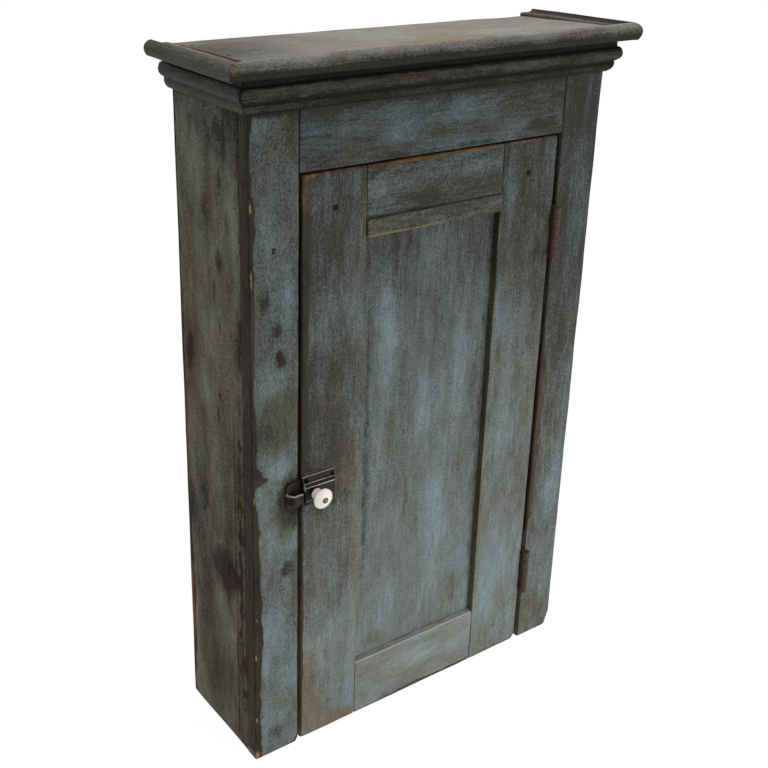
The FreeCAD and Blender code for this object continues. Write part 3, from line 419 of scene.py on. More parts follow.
def boardPiece(name, change, body):
    # a sawn board: a box whose arrises are rounded by a radius that wanders along them, and
    # whose faces sink by slow waves; wear grows towards the arrises
    look = {**board, **change}
    low, high = (np.array(end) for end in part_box(look["node"]))
    trim = np.array(look["trim"]) / 1000
    low, high = low + trim, high - trim
    places = [spacing(low[axis], high[axis], look["step"] / 1000,
                      corner[axis] + np.array(look["extra"].get(axis, [])) / 1000)
              for axis in range(3)]
    points, faces = boxSkin(places)
    seed = look["seed"]
    gap = dict(zip(("left", "front", "under"), (points - low).T * 1000))
    gap.update(zip(("right", "back", "top"), (high - points).T * 1000))
    nearest = np.sort(np.stack(list(gap.values()), 1), axis=1)[:, 1]
    radius = look["round"] * wander(points, look["roundLump"], seed, 0.5)
    layers = blankLayers(len(points))
    layers["smoke"] += look["smoke"]
    for faceNames, more, width, amount, fresh in look["arris"]:
        first, second = (gap[label] for label in faceNames.split())
        off = np.maximum(first, second)
        bulk = wander(points, look["arrisLump"], seed + 3, 0.3)
        radius += more * np.exp(-(off / (1.5 * more + 1)) ** 2) * bulk
        reach = width * wander(points, look["wearLump"], seed + 4, 0.4)
        near = np.exp(-(off / reach) ** 2)
        layers["wear"] += amount * near
        layers["fresh"] += fresh * near
    layers["wear"] += look["edgeWear"] * np.exp(-(nearest / look["edgeWidth"]) ** 2)
    layers["fresh"] += look["edgeFresh"] * np.exp(-(nearest / look["freshWidth"]) ** 2)
    for label, layer, amount in look["faces"]:
        layers[layer] += amount * (gap[label] < look["onFace"])
    addMarks(layers, points, look)
    # the inside was never painted, nor the edges as far as "unpainted" from it
    inside = gap[look["inside"]] < look["unpainted"] + look["onFace"]
    layers["wear"][inside] = look["bareWear"]
    layers["smoke"][inside] = look["bareSmoke"]
    layers["fresh"][inside] = 0
    if look["keenFoot"]:
        # arrises sharper towards the foot
        radius = radius * np.clip(gap["under"] / look["keenFoot"], look["keenest"], 1)
    thick = (high - low).min() * 1000
    radius = np.minimum(radius, 0.45 * thick)[:, None] / 1000
    core = np.clip(points, low + radius, high - radius)
    outwards = points - core
    outwards /= np.linalg.norm(outwards, axis=1, keepdims=True)
    # slow waves, and others a quarter as long and as deep
    size = np.full(3, look["waveAcross"])
    size[look["grain"]] = look["waveAlong"]
    sink = look["wave"] * drift(points, size, seed + 7)
    sink += 0.25 * look["wave"] * drift(points, size / 4, seed + 8)
    for label, deep in look["ripple"].items():
        near = np.exp(-gap[label] / look["rippleReach"])
        sink += deep * drift(points, look["arrisLump"], seed + 11) * near
    if look["crack"]:
        # a drying crack along z
        crack = look["crack"]
        place = (points - corner) * 1000
        along = np.clip((place[:, 2] - crack["from"]) / crack["startFade"], 0, 1)
        along *= np.clip((crack["to"] - place[:, 2]) / crack["endFade"], 0, 1)
        stray = crack["wander"] * (drift(points, crack["lump"], seed + 9) - 0.5)
        off = (place[:, crack["axis"]] - crack["at"] - stray) / crack["half"]
        sink += crack["deep"] * np.exp(-off ** 2) * along
        layers["soot"] += crack["soot"] * np.exp(-(off / 2) ** 2) * along
    points = core + outwards * (radius - sink[:, None] / 1000)
    if look["worn"]:
        # each height is narrowed to the slant of the lost corner
        wide, tall = look["worn"]
        cut = wide / 1000 * np.clip(1 - (points[:, 2] - low[2]) * 1000 / tall, 0, 1)
        points[:, 0] -= cut * (points[:, 0] - low[0]) / (high[0] - low[0])
    material = paintedPine("milkPaintOnPine." + name, look["grain"], look["paint"])
    meshPiece(name, points, faces.tolist(), layers, material, body, [look["node"]])


leftSide = {
    "node": "left_side", "inside": "right", "seed": 1, "plane": (1, 2), "step": 4, "wave": 0.7,
    "paint": {"dull": "#87806f", "blue": "#8b8d7f", "violet": "#8a7d70", "olive": "#786e52",
              "fine": 1.6, "cloud": 1.9, "streaky": 0.4, "gloss": 0.1, "grimeAndShade": "#1d1b15",
              "woodBrown": "#2a1a13", "woodRust": "#45291b", "smoke": "#120b08"},
    "smoke": -0.19,
    "arris": [("left back", 1.5, 6, 1, 0.15)],
    "extra": {1: [37.8, 38.4, 39, 39.6, 40.2]},
    "crack": {"axis": 1, "at": 39, "half": 0.5, "deep": 1.2, "from": 4, "to": 476, "soot": 0.9,
              "startFade": 12, "endFade": 40, "wander": 0.6, "lump": 0.05},
    "marks": [
        ("pale", 106, 700, 16, 100, 0.6), ("soot", 58, 742, 30, 26, 0.7), ("soot", 60, 703, 4, 16, 1),
        ("soot", 45, 661, 4, 20, 1), ("stain", 64, 616, 10, 22, 1), ("soot", 64, 616, 8, 20, 0.9),
        ("soot", 64, 540, 4, 18, 1), ("soot", 74, 581, 6, 28, 0.7), ("stain", 134, 489, 14, 32, 1.2),
        ("soot", 134, 489, 12, 28, 0.9), ("pale", 85, 470, 22, 46, 0.4), ("smoke", 90, 440, 70, 90, -0.1),
        ("stain", 85, 470, 24, 50, 0.5), ("soot", 68, 459, 4, 9, 1.2), ("soot", 71, 433, 4, 16, 1.2),
        ("stain", 28, 230, 13, 300, 1.3), ("wear", 28, 230, 12, 330, 0.6), ("wear", 54, 240, 22, 18, 1.3),
        ("wear", 62, 226, 28, 14, 1), ("smoke", 50, 240, 12, 14, 0.5), ("soot", 66, 232, 34, 32, 0.9),
        ("stain", 72, 230, 40, 46, 1.1), ("wear", 156, 140, 16, 200, 1),
        ("smoke", 154, 130, 16, 190, -0.5), ("fresh", 156, 120, 16, 150, 0.42),
        ("wear", 156, 480, 5, 260, 0.6), ("stain", 91, 287, 12, 30, 0.8), ("soot", 108, 308, 10, 36, 0.7),
        ("pale", 118, 366, 14, 34, 0.5), ("soot", 21, 620, 9, 220, 0.6), ("soot", 50, 800, 60, 30, 0.6),
        ("smoke", 80, 778, 140, 46, 0.2), ("smoke", 80, 230, 400, 300, 0.33),
        ("stain", 80, 60, 90, 90, 0.5), ("stain", 150, 300, 8, 400, 1)]}

rightSide = {
    "node": "right_side", "inside": "left", "seed": 2, "plane": (1, 2), "step": 4, "wave": 0.7,
    "paint": {"dull": "#7d8079", "blue": "#84979a"},
    "arris": [("right back", 1.5, 5, 0.7, 0.1)],
    "marks": [
        ("pale", 70, 520, 40, 130, 0.4), ("soot", 40, 250, 24, 90, 0.5), ("stain", 100, 90, 40, 70, 0.5),
        ("soot", 90, 800, 80, 30, 0.5)]}

leftStile = {
    "node": "left_stile", "seed": 3, "wave": 0.6, "worn": (4, 7), "smoke": 0.01, "keenFoot": 25,
    "paint": {"streaky": 0.5, "gloss": 0.2, "woodBrown": "#382f26", "woodRust": "#4b3a2d",
              "woodOchre": "#b0925f", "smoke": "#1a140f", "stain": "#6c6a46"},
    "arris": [("left front", 1.4, 7, 1, 0.08), ("right front", 1.2, 2, 0.6, 0.1)],
    "faces": [("left", "stain", 1), ("left", "smoke", 0.25), ("left", "wear", 0.5)],
    "marks": [
        ("wear", 0, 755, 30, 40, -0.3), ("pale", 12, 767, 14, 22, 0.6), ("pale", 30, 700, 26, 90, 0.35),
        ("smoke", 30, 690, 60, 110, -0.08), ("pale", 21, 654, 15, 44, 0.5), ("pale", 46, 591, 9, 46, 0.9),
        ("pale", 28, 496, 20, 34, 0.5), ("pale", 36, 389, 24, 14, 1), ("pale", 31, 291, 20, 34, 0.4),
        ("pale", 25, 179, 17, 60, 0.5), ("pale", 15, 132, 8, 30, 0.7), ("stain", 28, 442, 50, 46, 0.95),
        ("smoke", 20, 436, 40, 40, 0.16), ("wear", 3, 180, 9, 200, 0.95), ("smoke", 2, 200, 10, 220, 0.3),
        ("wear", 50, 347, 27, 33, 1.2), ("smoke", 50, 347, 30, 36, 0.7), ("stain", 46, 330, 26, 40, 0.9),
        ("wear", 5, 386, 13, 17, 1.2), ("wear", 13, 379, 12, 6, 1.1), ("smoke", 7, 386, 14, 16, 0.4),
        ("fresh", 4, 373, 3, 3, 0.9), ("soot", 2, 420, 10, 50, 0.5), ("wear", 33, 553, 6, 10, 1),
        ("smoke", 33, 553, 7, 11, 0.35), ("wear", 35, 523, 7, 9, 1), ("wear", 39, 515, 7, 9, 1),
        ("smoke", 37, 519, 10, 13, 0.35), ("wear", 29, 640, 4, 6, 0.9), ("soot", 18, 590, 10, 20, 0.5),
        ("soot", 45, 254, 12, 16, 1), ("stain", 55, 230, 7, 70, 1), ("smoke", 30, 140, 60, 180, 0.09),
        ("fresh", 2.2, 687, 2, 5, 1.4), ("wear", 2.2, 687, 2, 5, 1.2), ("fresh", 2.2, 614, 1.8, 11, 1.2),
        ("wear", 2.2, 614, 1.8, 11, 1), ("fresh", 2.4, 357, 1.8, 4, 1.4), ("fresh", 4, 200, 1.6, 4, 1.4),
        ("fresh", 2.2, 149, 1.8, 6, 1.4), ("fresh", 2.2, 58, 2.4, 4, 1.6), ("fresh", 2, 5, 4, 7, 1.6),
        ("wear", 2, 5, 4, 7, 1), ("soot", 30, 28, 22, 16, 0.7), ("pale", 14, 32, 4, 14, 0.9),
        # painted shadow: the last soot mark, along 778, darkens the stile under the bed moulding
        ("wear", 58, 4, 5, 8, 0.8), ("soot", 30, 778, 60, 4, 0.8)]}

rightStile = {
    "node": "right_stile", "seed": 4, "wave": 0.6, "worn": (7, 22), "smoke": 0.2, "ripple": {"right": 1},
    "arris": [("left front", 1.2, 3, 0.7, 0.05), ("right front", 1.8, 2.6, 0.6, 0.1)],
    "marks": [
        ("pale", 461, 685, 14, 40, 0.5), ("pale", 466, 250, 14, 110, 0.45),
        ("stain", 430, 400, 10, 60, 1), ("wear", 424, 340, 12, 130, 0.9), ("wear", 425, 220, 8, 70, 0.7),
        ("stain", 430, 250, 12, 120, 0.7), ("stain", 440, 40, 30, 60, 0.6),
        ("soot", 440, 600, 20, 90, 0.35), ("soot", 450, 770, 40, 30, 0.2)]}

frieze = {
    "node": "frame_top_rail", "grain": 0, "seed": 5, "step": 4, "trim": (30, 0, 0), "edgeWear": 0.3,
    "paint": {"blue": "#809ba1", "cloud": 1.1, "fine": 0.8},
    "marks": [
        ("pale", 204, 754, 40, 22, 0.6), ("pale", 171, 737, 36, 14, 0.45),
        ("pale", 268, 761, 26, 18, 0.6), ("soot", 389, 731, 26, 12, 0.7), ("soot", 95, 756, 34, 20, 0.15),
        # painted shadow: the soot marks along 770 to 780 darken the frieze under the bed moulding
        ("soot", 330, 770, 50, 14, 0.25), ("soot", 160, 776, 110, 8, 0.2),
        ("soot", 240, 719, 160, 5, 0.5), ("soot", 240, 780, 900, 4, 0.8), ("smoke", 76, 745, 36, 60, 0.2)]}

lockStile = {
    "node": "lock_stile", "seed": 6, "paint": {"woodOchre": "#9a7848", "stain": "#86765f"},
    "arris": [("left front", 1.6, 5, 0.9, 0.15), ("right front", 0.8, 2.2, 1, 1),
              ("top front", 1.2, 4, 0.8, 0.55), ("under front", 0.8, 5, 1, 0.7)],
    "marks": [
        ("wear", 66, 670, 6, 60, 1), ("fresh", 67, 690, 7, 36, 0.8), ("wear", 65, 590, 9, 130, 0.8),
        ("smoke", 66, 590, 9, 120, 0.4), ("wear", 72, 713, 18, 8, 0.9), ("fresh", 74, 713, 16, 8, 0.5),
        ("stain", 68, 640, 10, 90, 1), ("pale", 131, 690, 10, 60, 0.5), ("stain", 68, 430, 12, 120, 1.4),
        ("smoke", 66, 430, 10, 130, 0.35), ("stain", 120, 360, 24, 44, 0.6),
        ("wear", 82, 372, 18, 7, 0.8), ("stain", 84, 372, 26, 14, 1), ("soot", 96, 330, 34, 22, 0.5),
        ("soot", 66, 520, 6, 120, 0.4), ("pale", 97, 130, 26, 60, 0.3), ("pale", 125, 470, 12, 60, 0.35),
        ("stain", 96, 250, 50, 130, 0.4), ("stain", 98, 440, 22, 44, 0.6),
        ("smoke", 95, 400, 60, 240, 0.2), ("stain", 104, 390, 40, 60, 0.5),
        ("smoke", 100, 390, 44, 66, 0.1), ("pale", 100, 400, 44, 60, -0.4),
        ("smoke", 95, 660, 80, 140, 0.1), ("stain", 74, 50, 24, 90, 0.9), ("wear", 147, 30, 9, 66, -1.2),
        ("wear", 147, 700, 9, 60, -1.2), ("stain", 100, 6, 50, 24, 0.9), ("smoke", 85, 10, 40, 30, -0.12)]}

hingeStile = {
    "node": "hinge_stile", "seed": 7, "worn": (6, 7), "smoke": 0.03, "paint": {"woodOchre": "#9c8a66"},
    "arris": [("left front", 0.6, 1.5, 0.8, 0.8), ("right front", 1, 1.6, 0.6, 0.1),
              ("top front", 1.2, 4, 0.75, 0.55), ("under front", 0.8, 5, 1, 0.7)],
    # painted shade: the left face, the inner edge beside the panel, is darkened
    "faces": [("left", "smoke", 0.2), ("left", "stain", 1)],
    "marks": [
        ("pale", 352, 660, 14, 50, 0.5), ("pale", 365, 385, 20, 110, 0.35),
        ("pale", 360, 120, 20, 100, 0.35), ("soot", 400, 560, 14, 110, 0.35),
        ("stain", 400, 330, 14, 120, 0.45), ("smoke", 370, 650, 90, 170, 0.07),
        ("wear", 335, 30, 9, 66, -1.2), ("wear", 335, 700, 9, 60, -1.2)]}

doorTopRail = {
    "node": "door_top_rail", "grain": 0, "seed": 8, "trim": (60, 0, 0), "edgeWear": 0.3, "smoke": 0.05,
    "arris": [("top front", 1.2, 4, 0.45, 0.55)],
    "marks": [
        ("pale", 160, 690, 16, 16, 0.5), ("pale", 290, 690, 30, 12, 0.4),
        ("soot", 220, 672, 60, 12, 0.35), ("soot", 150, 705, 10, 14, 0.5), ("wear", 205, 713, 62, 7, 0.7),
        ("fresh", 225, 713, 52, 8, 0.5), ("wear", 160, 708, 12, 8, 0.6), ("wear", 300, 712, 40, 4, 0.4),
        ("fresh", 300, 712, 40, 5, 0.4)]}

doorBottomRail = {
    "node": "door_bottom_rail", "grain": 0, "seed": 9, "wave": 0.4,
    "unpainted": 9, "trim": (60, 0, 0), "edgeWear": 0.3, "smoke": -0.13,
    "paint": {"woodOchre": "#b4b0a2", "blue": "#8f9b9c"},
    "arris": [("top front", 0.9, 1.2, 0.7, 1), ("under front", 0.8, 5, 1, 0.25)],
    # painted light: the top face is lighter, as lit from above; it is also worn to pale wood
    "faces": [("top", "smoke", -0.3), ("top", "wear", 0.4), ("top", "fresh", 0.9)],
    "marks": [
        ("pale", 230, 50, 70, 20, 0.4), ("soot", 200, 8, 80, 7, 0.35)]}

doorPanel = {
    "node": "door_panel", "seed": 10, "wave": 0.8,
    "paint": {"cloud": 0.5, "dull": "#888f8a", "olive": "#7c7d6f"},
    "marks": [
        ("pale", 183, 505, 13, 92, 1), ("pale", 241, 430, 14, 100, 0.5), ("pale", 295, 445, 16, 120, 0.5),
        ("stain", 219, 292, 5, 62, 1), ("stain", 192, 387, 14, 50, 0.6), ("stain", 302, 120, 26, 40, 0.5),
        ("pale", 240, 600, 24, 60, 0.4), ("soot", 190, 616, 14, 50, 0.4), ("soot", 158, 350, 6, 280, 0.6),
        ("soot", 330, 350, 8, 280, 0.4), ("pale", 270, 250, 30, 120, 0.35),
        ("stain", 181, 92, 26, 20, 0.5), ("smoke", 240, 610, 140, 110, 0.08)]}

railStrip = {
    "node": "door_rail_strip", "grain": 0, "seed": 11, "wave": 0.3, "step": 3, "round": 0.8,
    "arris": [("under front", 0.5, 2.6, 1, 1), ("top front", 0.3, 1.2, 0.5, 0.3)],
    "smoke": 0.06, "paint": {"dull": "#84847a", "blue": "#8a9590", "woodOchre": "#a08c62"},
    "marks": [
        ("soot", 240, 666, 130, 3, 0.8), ("pale", 215, 655, 34, 8, 0.6), ("stain", 165, 655, 14, 8, 0.8)]}

for body, boards in (
        ("case", {"leftSide": leftSide, "rightSide": rightSide, "leftStile": leftStile,
                  "rightStile": rightStile, "frieze": frieze}),
        ("door", {"lockStile": lockStile, "hingeStile": hingeStile, "doorTopRail": doorTopRail,
                  "doorBottomRail": doorBottomRail, "doorPanel": doorPanel,
                  "railStrip": railStrip})):
    for label, look in boards.items():
        boardPiece(label + "Board", look, body)
print("boards made")


def outlineLoop(segments, soften):
    # a closed profile from (start, end, bulge, step) in mm, its corners softened by averaging;
    # also how far each point lost ground: more than none on an edge, less than none in a quirk
    runs = []
    for start, end, bulge, step in segments:
        start, end = np.array(start, float), np.array(end, float)
        chord = end - start
        length = np.linalg.norm(chord)
        count = max(1, int(round((length + 2 * abs(bulge)) / step)))
        share = np.arange(count)[:, None] / count
        side = np.array([chord[1], -chord[0]]) / length
        if bulge:
            # an arc that stands out by bulge in the middle of its chord
            half = 2 * math.atan(2 * bulge / length)
            radius = length / 2 / math.sin(half)
            centre = (start + end) / 2 + side * (bulge - radius)
            angle = half * (2 * share - 1)
            along = chord / length
            runs.append(centre + radius * (np.cos(angle) * side + np.sin(angle) * along))
        else:
            runs.append(start + share * chord)
    loop = np.concatenate(runs)
    soft = loop
    for _ in range(soften):
        soft = 0.5 * soft + 0.25 * (np.roll(soft, 1, 0) + np.roll(soft, -1, 0))
    moved = soft - loop
    inwards = loop.mean(0) - loop
    return soft, np.linalg.norm(moved, axis=1) * np.sign((moved * inwards).sum(1))


def sweepFaces(rings, around):
    # quads between the rings of a closed profile, and one face at each end
    order = np.arange(rings * around).reshape(rings, around)
    turned = np.roll(order, -1, axis=1)
    quads = np.stack([order[:-1], turned[:-1], turned[1:], order[1:]], -1).reshape(-1, 4)
    return quads.tolist() + [order[0, ::-1].tolist(), order[-1].tolist()]


def outwardNormals(piece):
    work = bmesh.new()
    work.from_mesh(piece.data)
    bmesh.ops.recalc_face_normals(work, faces=work.faces)
    work.to_mesh(piece.data)
    work.free()


# defaults of a moulding: an edge wears through where it has lost edgeLoss mm, a quirk is painted dark as
# shade
moulding = {"edgeWear": 0.4, "edgeFresh": 0.3, "edgeLoss": 0.4, "quirkShade": 1.2, "soot": 0}


def sweptPiece(name, change, points, lost):
    # a profile carried along its run, one ring of points after the other
    look = {**moulding, **change}
    layers = blankLayers(len(points))
    layers["smoke"] += look["smoke"]
    layers["soot"] += look["soot"]
    edge = np.tile(lost, look["rings"]) / look["edgeLoss"]
    layers["wear"] += look["edgeWear"] * np.clip(edge, 0, 1)
    layers["fresh"] += look["edgeFresh"] * np.clip(edge, 0, 1)
    # painted shade in the quirks
    layers["soot"] += look["quirkShade"] * np.clip(-edge, 0, 1)
    addMarks(layers, points, look)
    material = paintedPine("milkPaintOnPine." + name, look["grain"], look["paint"])
    faces = sweepFaces(look["rings"], len(points) // look["rings"])
    outwardNormals(meshPiece(name, points, faces, layers, material, "case", [look["node"]]))


def inMetres(x, y, z):
    # a row for each point of a grid in mm
    return np.stack(np.broadcast_arrays(x, y, z), -1).reshape(-1, 3) / 1000


def sway(points, axis, amount, size, seed, stretch=(1, 1, 1), where=1):
    # moves points along one axis by smooth noise, in m
    points[:, axis] += amount * drift(points * np.array(stretch), size, seed) * where


# Cornice. Profiles are (out, up) in mm; where two mouldings are mitred, each point of a profile
# runs as far past the corner as it stands out. The whole cornice rises to the right.
cornice = {"bedFoot": 780, "capFoot": 817, "half": 241.5, "frontY": -156, "rise": 2.6,
           "mitreOpen": 1.2, "front": 22, "left": 29.5, "right": 35.5, "width": 29.5}
# ovolo, quirk, round and a deep dark neck under the nose
bedLoop, bedLost = outlineLoop([
    ((0, 0), (1.2, 0), 0, 0.5), ((1.2, 0), (8.4, 10.8), 2.2, 0.8),
    ((8.4, 10.8), (7.8, 12.4), 0, 0.7), ((7.8, 12.4), (10.4, 14.2), 0, 0.8),
    ((10.4, 14.2), (14.6, 21.5), 1.1, 0.8), ((14.6, 21.5), (12.4, 28.4), 0.5, 0.8),
    ((12.4, 28.4), (9.4, 29.4), 0, 0.9), ((9.4, 29.4), (9.4, 37), 0, 0.9),
    ((9.4, 37), (0, 37), 0, 3), ((0, 37), (0, 0), 0, 3)], 1)

# pastLeft: the front runs this much further past the left mitre; sway: axis, amount, size, seed
bedFront = {
    "node": "bed_mould_front", "grain": 0, "seed": 31, "plane": (0, 2), "edgeLoss": 0.35,
    "rings": 150, "smoke": 0.14, "pastLeft": 1.22,
    "sway": [(1, 0.0006, 0.06, 41), (2, -0.0009, 0.11, 42)],
    "paint": {"dull": "#77736a", "blue": "#787b75", "violet": "#7d746d",
              "grimeAndShade": "#1e1c18", "gloss": 0.1, "fine": 0.75},
    # painted shade: the long soot and smoke bands darken the neck under the nose, the quirk, the foot and
    # the open left mitre; the band at 804 is painted light on the upper round
    "marks": [
        ("wear", 56, 796, 9, 2, 0.8), ("fresh", 56, 796, 9, 2, 1), ("soot", 240, 813, 900, 6, 2),
        ("smoke", -17, 800, 4, 60, 1.2), ("smoke", 240, 780.5, 900, 2.4, 1.6),
        ("smoke", 240, 814, 900, 7, 0.8), ("soot", 240, 792.6, 900, 2.4, 2.2),
        ("smoke", 240, 792.6, 900, 2.4, 0.5), ("smoke", 240, 804, 900, 8, -0.2),
        ("stain", 200, 803, 120, 5, 0.5)]}
bedSide = {
    "grain": 1, "plane": (1, 2), "edgeLoss": 0.35, "rings": 60, "smoke": 0.16,
    "short": 1.8, "swayBy": 0.0006, "swaySize": 0.06,
    "paint": {"dull": "#73726a", "blue": "#7b7e77", "violet": "#77716b", "fine": 1.6},
    # painted shade: the smoke at the front mitre, the soot and smoke along the neck at 814 and the soot in
    # the quirk at 792.6
    "marks": [
        ("smoke", -11, 800, 6, 60, 1.2), ("soot", 80, 814, 900, 6, 1.2), ("smoke", 80, 815, 900, 6, 0.4),
        ("soot", 80, 792.6, 900, 2.2, 0.3)]}


def lifted(x, up):
    # height above the foot of the case, with the rise to the right added
    return baseZ + up + cornice["rise"] * (x + cornice["half"]) / (2 * cornice["half"])


def bedMouldings():
    run = np.linspace(-1, 1, bedFront["rings"])[:, None]
    out, up = bedLoop.T[:, None]
    past = np.where(run < 0, bedFront["pastLeft"] * out, out)
    x = run * (cornice["half"] + past - cornice["mitreOpen"])
    points = inMetres(x, cornice["frontY"] - out, lifted(x, cornice["bedFoot"] + up))
    for way in bedFront["sway"]:
        sway(points, *way)
    sweptPiece("bedMouldFrontPiece", bedFront, points, bedLost)
    run = np.linspace(0, 1, bedSide["rings"])[:, None]
    for sign, side, seed in ((-1, "left", 32), (1, "right", 33)):
        x = sign * (cornice["half"] + out)
        y = run * (cornice["frontY"] - out + bedSide["short"])
        points = inMetres(x, y, lifted(x, cornice["bedFoot"] + up))
        sway(points, 0, -sign * bedSide["swayBy"], bedSide["swaySize"], seed)
        look = {**bedSide, "node": "bed_mould_" + side, "seed": seed}
        sweptPiece("bedMould%sPiece" % side.title(), look, points, bedLost)


# the cap: nose, crest, hollow and ledge, the same on the board's front and on both returns; the
# nose hangs a little below the board and is fullest under its middle, at a share of its height
cap = {"noseDepth": 7.5, "foot": -3.5, "hang": 1.5, "hangDeep": 13, "hangSlope": 0.5,
       "fullest": 0.47, "underBulge": 0.9, "noseBulge": 2.1, "crest": 2, "cove": 6,
       "coveDeep": 1.2, "drop": 4.5, "thick": 19.5, "deep": 178, "fall": 3.5, "upperFrom": 8}


def capLoop(height, deep, fall, flatStep):
    nose = -cap["noseDepth"]
    crest = nose - cap["crest"]
    ledge = crest - cap["cove"]
    flat = height - cap["drop"]
    low = (cap["foot"], -cap["hang"])
    hung = (cap["hangSlope"] - cap["hangDeep"], -cap["hang"])
    full = (0, cap["fullest"] * height)
    return outlineLoop([
        ((-deep, 0), (-cap["hangDeep"], 0), 0, 4), ((-cap["hangDeep"], 0), hung, 0, 1.5),
        (hung, low, 0, 1.5), (low, full, cap["underBulge"], 0.9),
        (full, (nose, height), cap["noseBulge"], 0.9), ((nose, height), (crest, height), 0, 0.8),
        ((crest, height), (ledge, flat), -cap["coveDeep"], 0.8),
        ((ledge, flat), (-deep, flat - fall), 0, flatStep),
        ((-deep, flat - fall), (-deep, 0), 0, 2)], 2)


# sway is (where, axis, amount, size, seed, stretch)
top = {
    "node": "top_board", "grain": 0, "seed": 34, "plane": (0, 1), "edgeWear": 0.5,
    "edgeFresh": 0.4, "rings": 150, "endRings": (0.0025, 0.005, 0.995, 0.9975),
    "flatStep": 2.5, "gap": 1.6, "twist": 1.4, "twistFrom": 30, "noseBack": 12,
    "sway": [("nose", 1, 0.0020, 0.045, 54, (1, 0.3, 0.6)),
             ("noseFoot", 2, 0.0012, 0.06, 55, (1, 0.2, 0.1)),
             ("upper", 2, -0.0014, 0.05, 51, (1, 0.2, 0.2)),
             ("upper", 2, -0.0010, (0.12, 0.04, 0.1), 52, (1, 1, 1))],
    "smoke": -0.53, "frontDark": 0.14, "frontBack": 40, "noseShade": 0.76,
    "darkBelow": 21.5, "darkOver": 17, "darkBack": 14, "darkWander": 6, "darkMiddle": 0.3,
    "darkLump": 0.03, "darkSeed": 53, "endShade": 3.0, "endFrom": 0.499,
    "paint": {"dull": "#a09a8f", "blue": "#9c9d96", "violet": "#a0968e",
              "olive": "#958a72", "grimeAndShade": "#242119", "woodOchre": "#a88468",
              "fine": 0.85, "gloss": 0.2, "stain": "#93815b"},
    "marks": [
        ("fresh", 200, -11, 90, 9, 0.7), ("wear", 200, -11, 90, 8, 0.52), ("fresh", 300, -10, 60, 8, 0.6),
        ("wear", 300, -10, 60, 7, 0.48), ("smoke", -20, 70, 140, 110, 0.42),
        ("smoke", 60, 90, 150, 100, 0.16), ("stain", 150, 90, 110, 50, 0.4),
        ("stain", 240, 14, 110, 36, 0.7), ("pale", 20, -15, 60, 5, 0.6), ("pale", 400, -14, 120, 5, 0.4),
        ("fresh", -22, -15, 16, 16, 1.4), ("wear", -25, -14, 9, 12, 0.9)]}


def topBoardPiece():
    # the profile runs from mitre to mitre; behind the mitres the ends are square. The board is
    # twisted: its back edge does not rise to the right
    loop, lost = capLoop(cap["thick"], cap["deep"], cap["fall"], top["flatStep"])
    run = np.linspace(0, 1, top["rings"] - len(top["endRings"]))
    run = np.sort(np.concatenate([run, top["endRings"]]))[:, None]
    out, up = loop.T[:, None]
    squareEnd = -out > cornice["width"]
    inset = np.minimum(-out, cornice["width"]) + top["gap"] * squareEnd
    low = -(cornice["half"] + cornice["left"] - inset)
    high = cornice["half"] + cornice["right"] - inset
    x = low + run * (high - low)
    back = np.clip((-out - top["twistFrom"]) / (cap["deep"] - top["twistFrom"]), 0, 1)
    z = lifted(x, cornice["capFoot"] + up) - top["twist"] * cornice["rise"] * back * run
    points = inMetres(x, cornice["frontY"] - cornice["front"] - out, z)
    upper = np.tile(up[0] > cap["upperFrom"], top["rings"])
    nose = np.tile(out[0] > -top["noseBack"], top["rings"])
    areas = {"nose": nose, "noseFoot": nose & ~upper, "upper": upper}
    for area, *way in top["sway"]:
        sway(points, *way, areas[area])
    # painted shade: the nose is dark below its crest, and the square ends are dark as they lie in shade;
    # the top also grows darker towards the front
    stray = drift(points, top["darkLump"], top["darkSeed"]).reshape(x.shape)
    edge = top["darkBelow"] - top["darkWander"] * (stray - top["darkMiddle"])
    below = np.clip((edge - up) / top["darkOver"], 0, 1) * (out > -top["darkBack"])
    front = np.clip(1 + out / top["frontBack"], 0, 1)
    shade = top["smoke"] + top["frontDark"] * front + top["noseShade"] * below
    ends = top["endShade"] * (np.abs(run - 0.5) > top["endFrom"]) * squareEnd
    look = {**top, "smoke": shade.ravel(), "soot": ends.ravel()}
    sweptPiece("topBoardPiece", look, points, lost)


topReturn = {
    "grain": 1, "plane": (1, 0), "rings": 60, "flatStep": 1.2, "short": 0.6,
    "swayBy": 0.0008, "swaySize": 0.05, "smoke": -0.06,
    "paint": {"dull": "#79746b", "blue": "#7f817c", "violet": "#7d746c",
              "woodOchre": "#a08a5e"}}
# height at the front, how much lower at the wall, marks, paint of its own
returnSides = {
    "left": {"sign": -1, "seed": 35, "height": 17, "drop": 1.7, "paint": {}, "marks": [
        ("wear", 80, -3, 900, 6, 1), ("fresh", 80, -3, 900, 6, 0.9)]},
    "right": {"sign": 1, "seed": 36, "height": 19.2, "drop": 4.3, "marks": [
        # painted shade: the smoke mark at 507 darkens the steep inner face of the nose
        ("wear", 80, 496, 120, 6, 0.5), ("fresh", 80, 495, 120, 5, 0.5), ("smoke", 80, 507, 160, 7, 0.6)],
        "paint": {"dull": "#786b62", "blue": "#786c64", "violet": "#73645c", "grimeAndShade": "#261d19"}}}


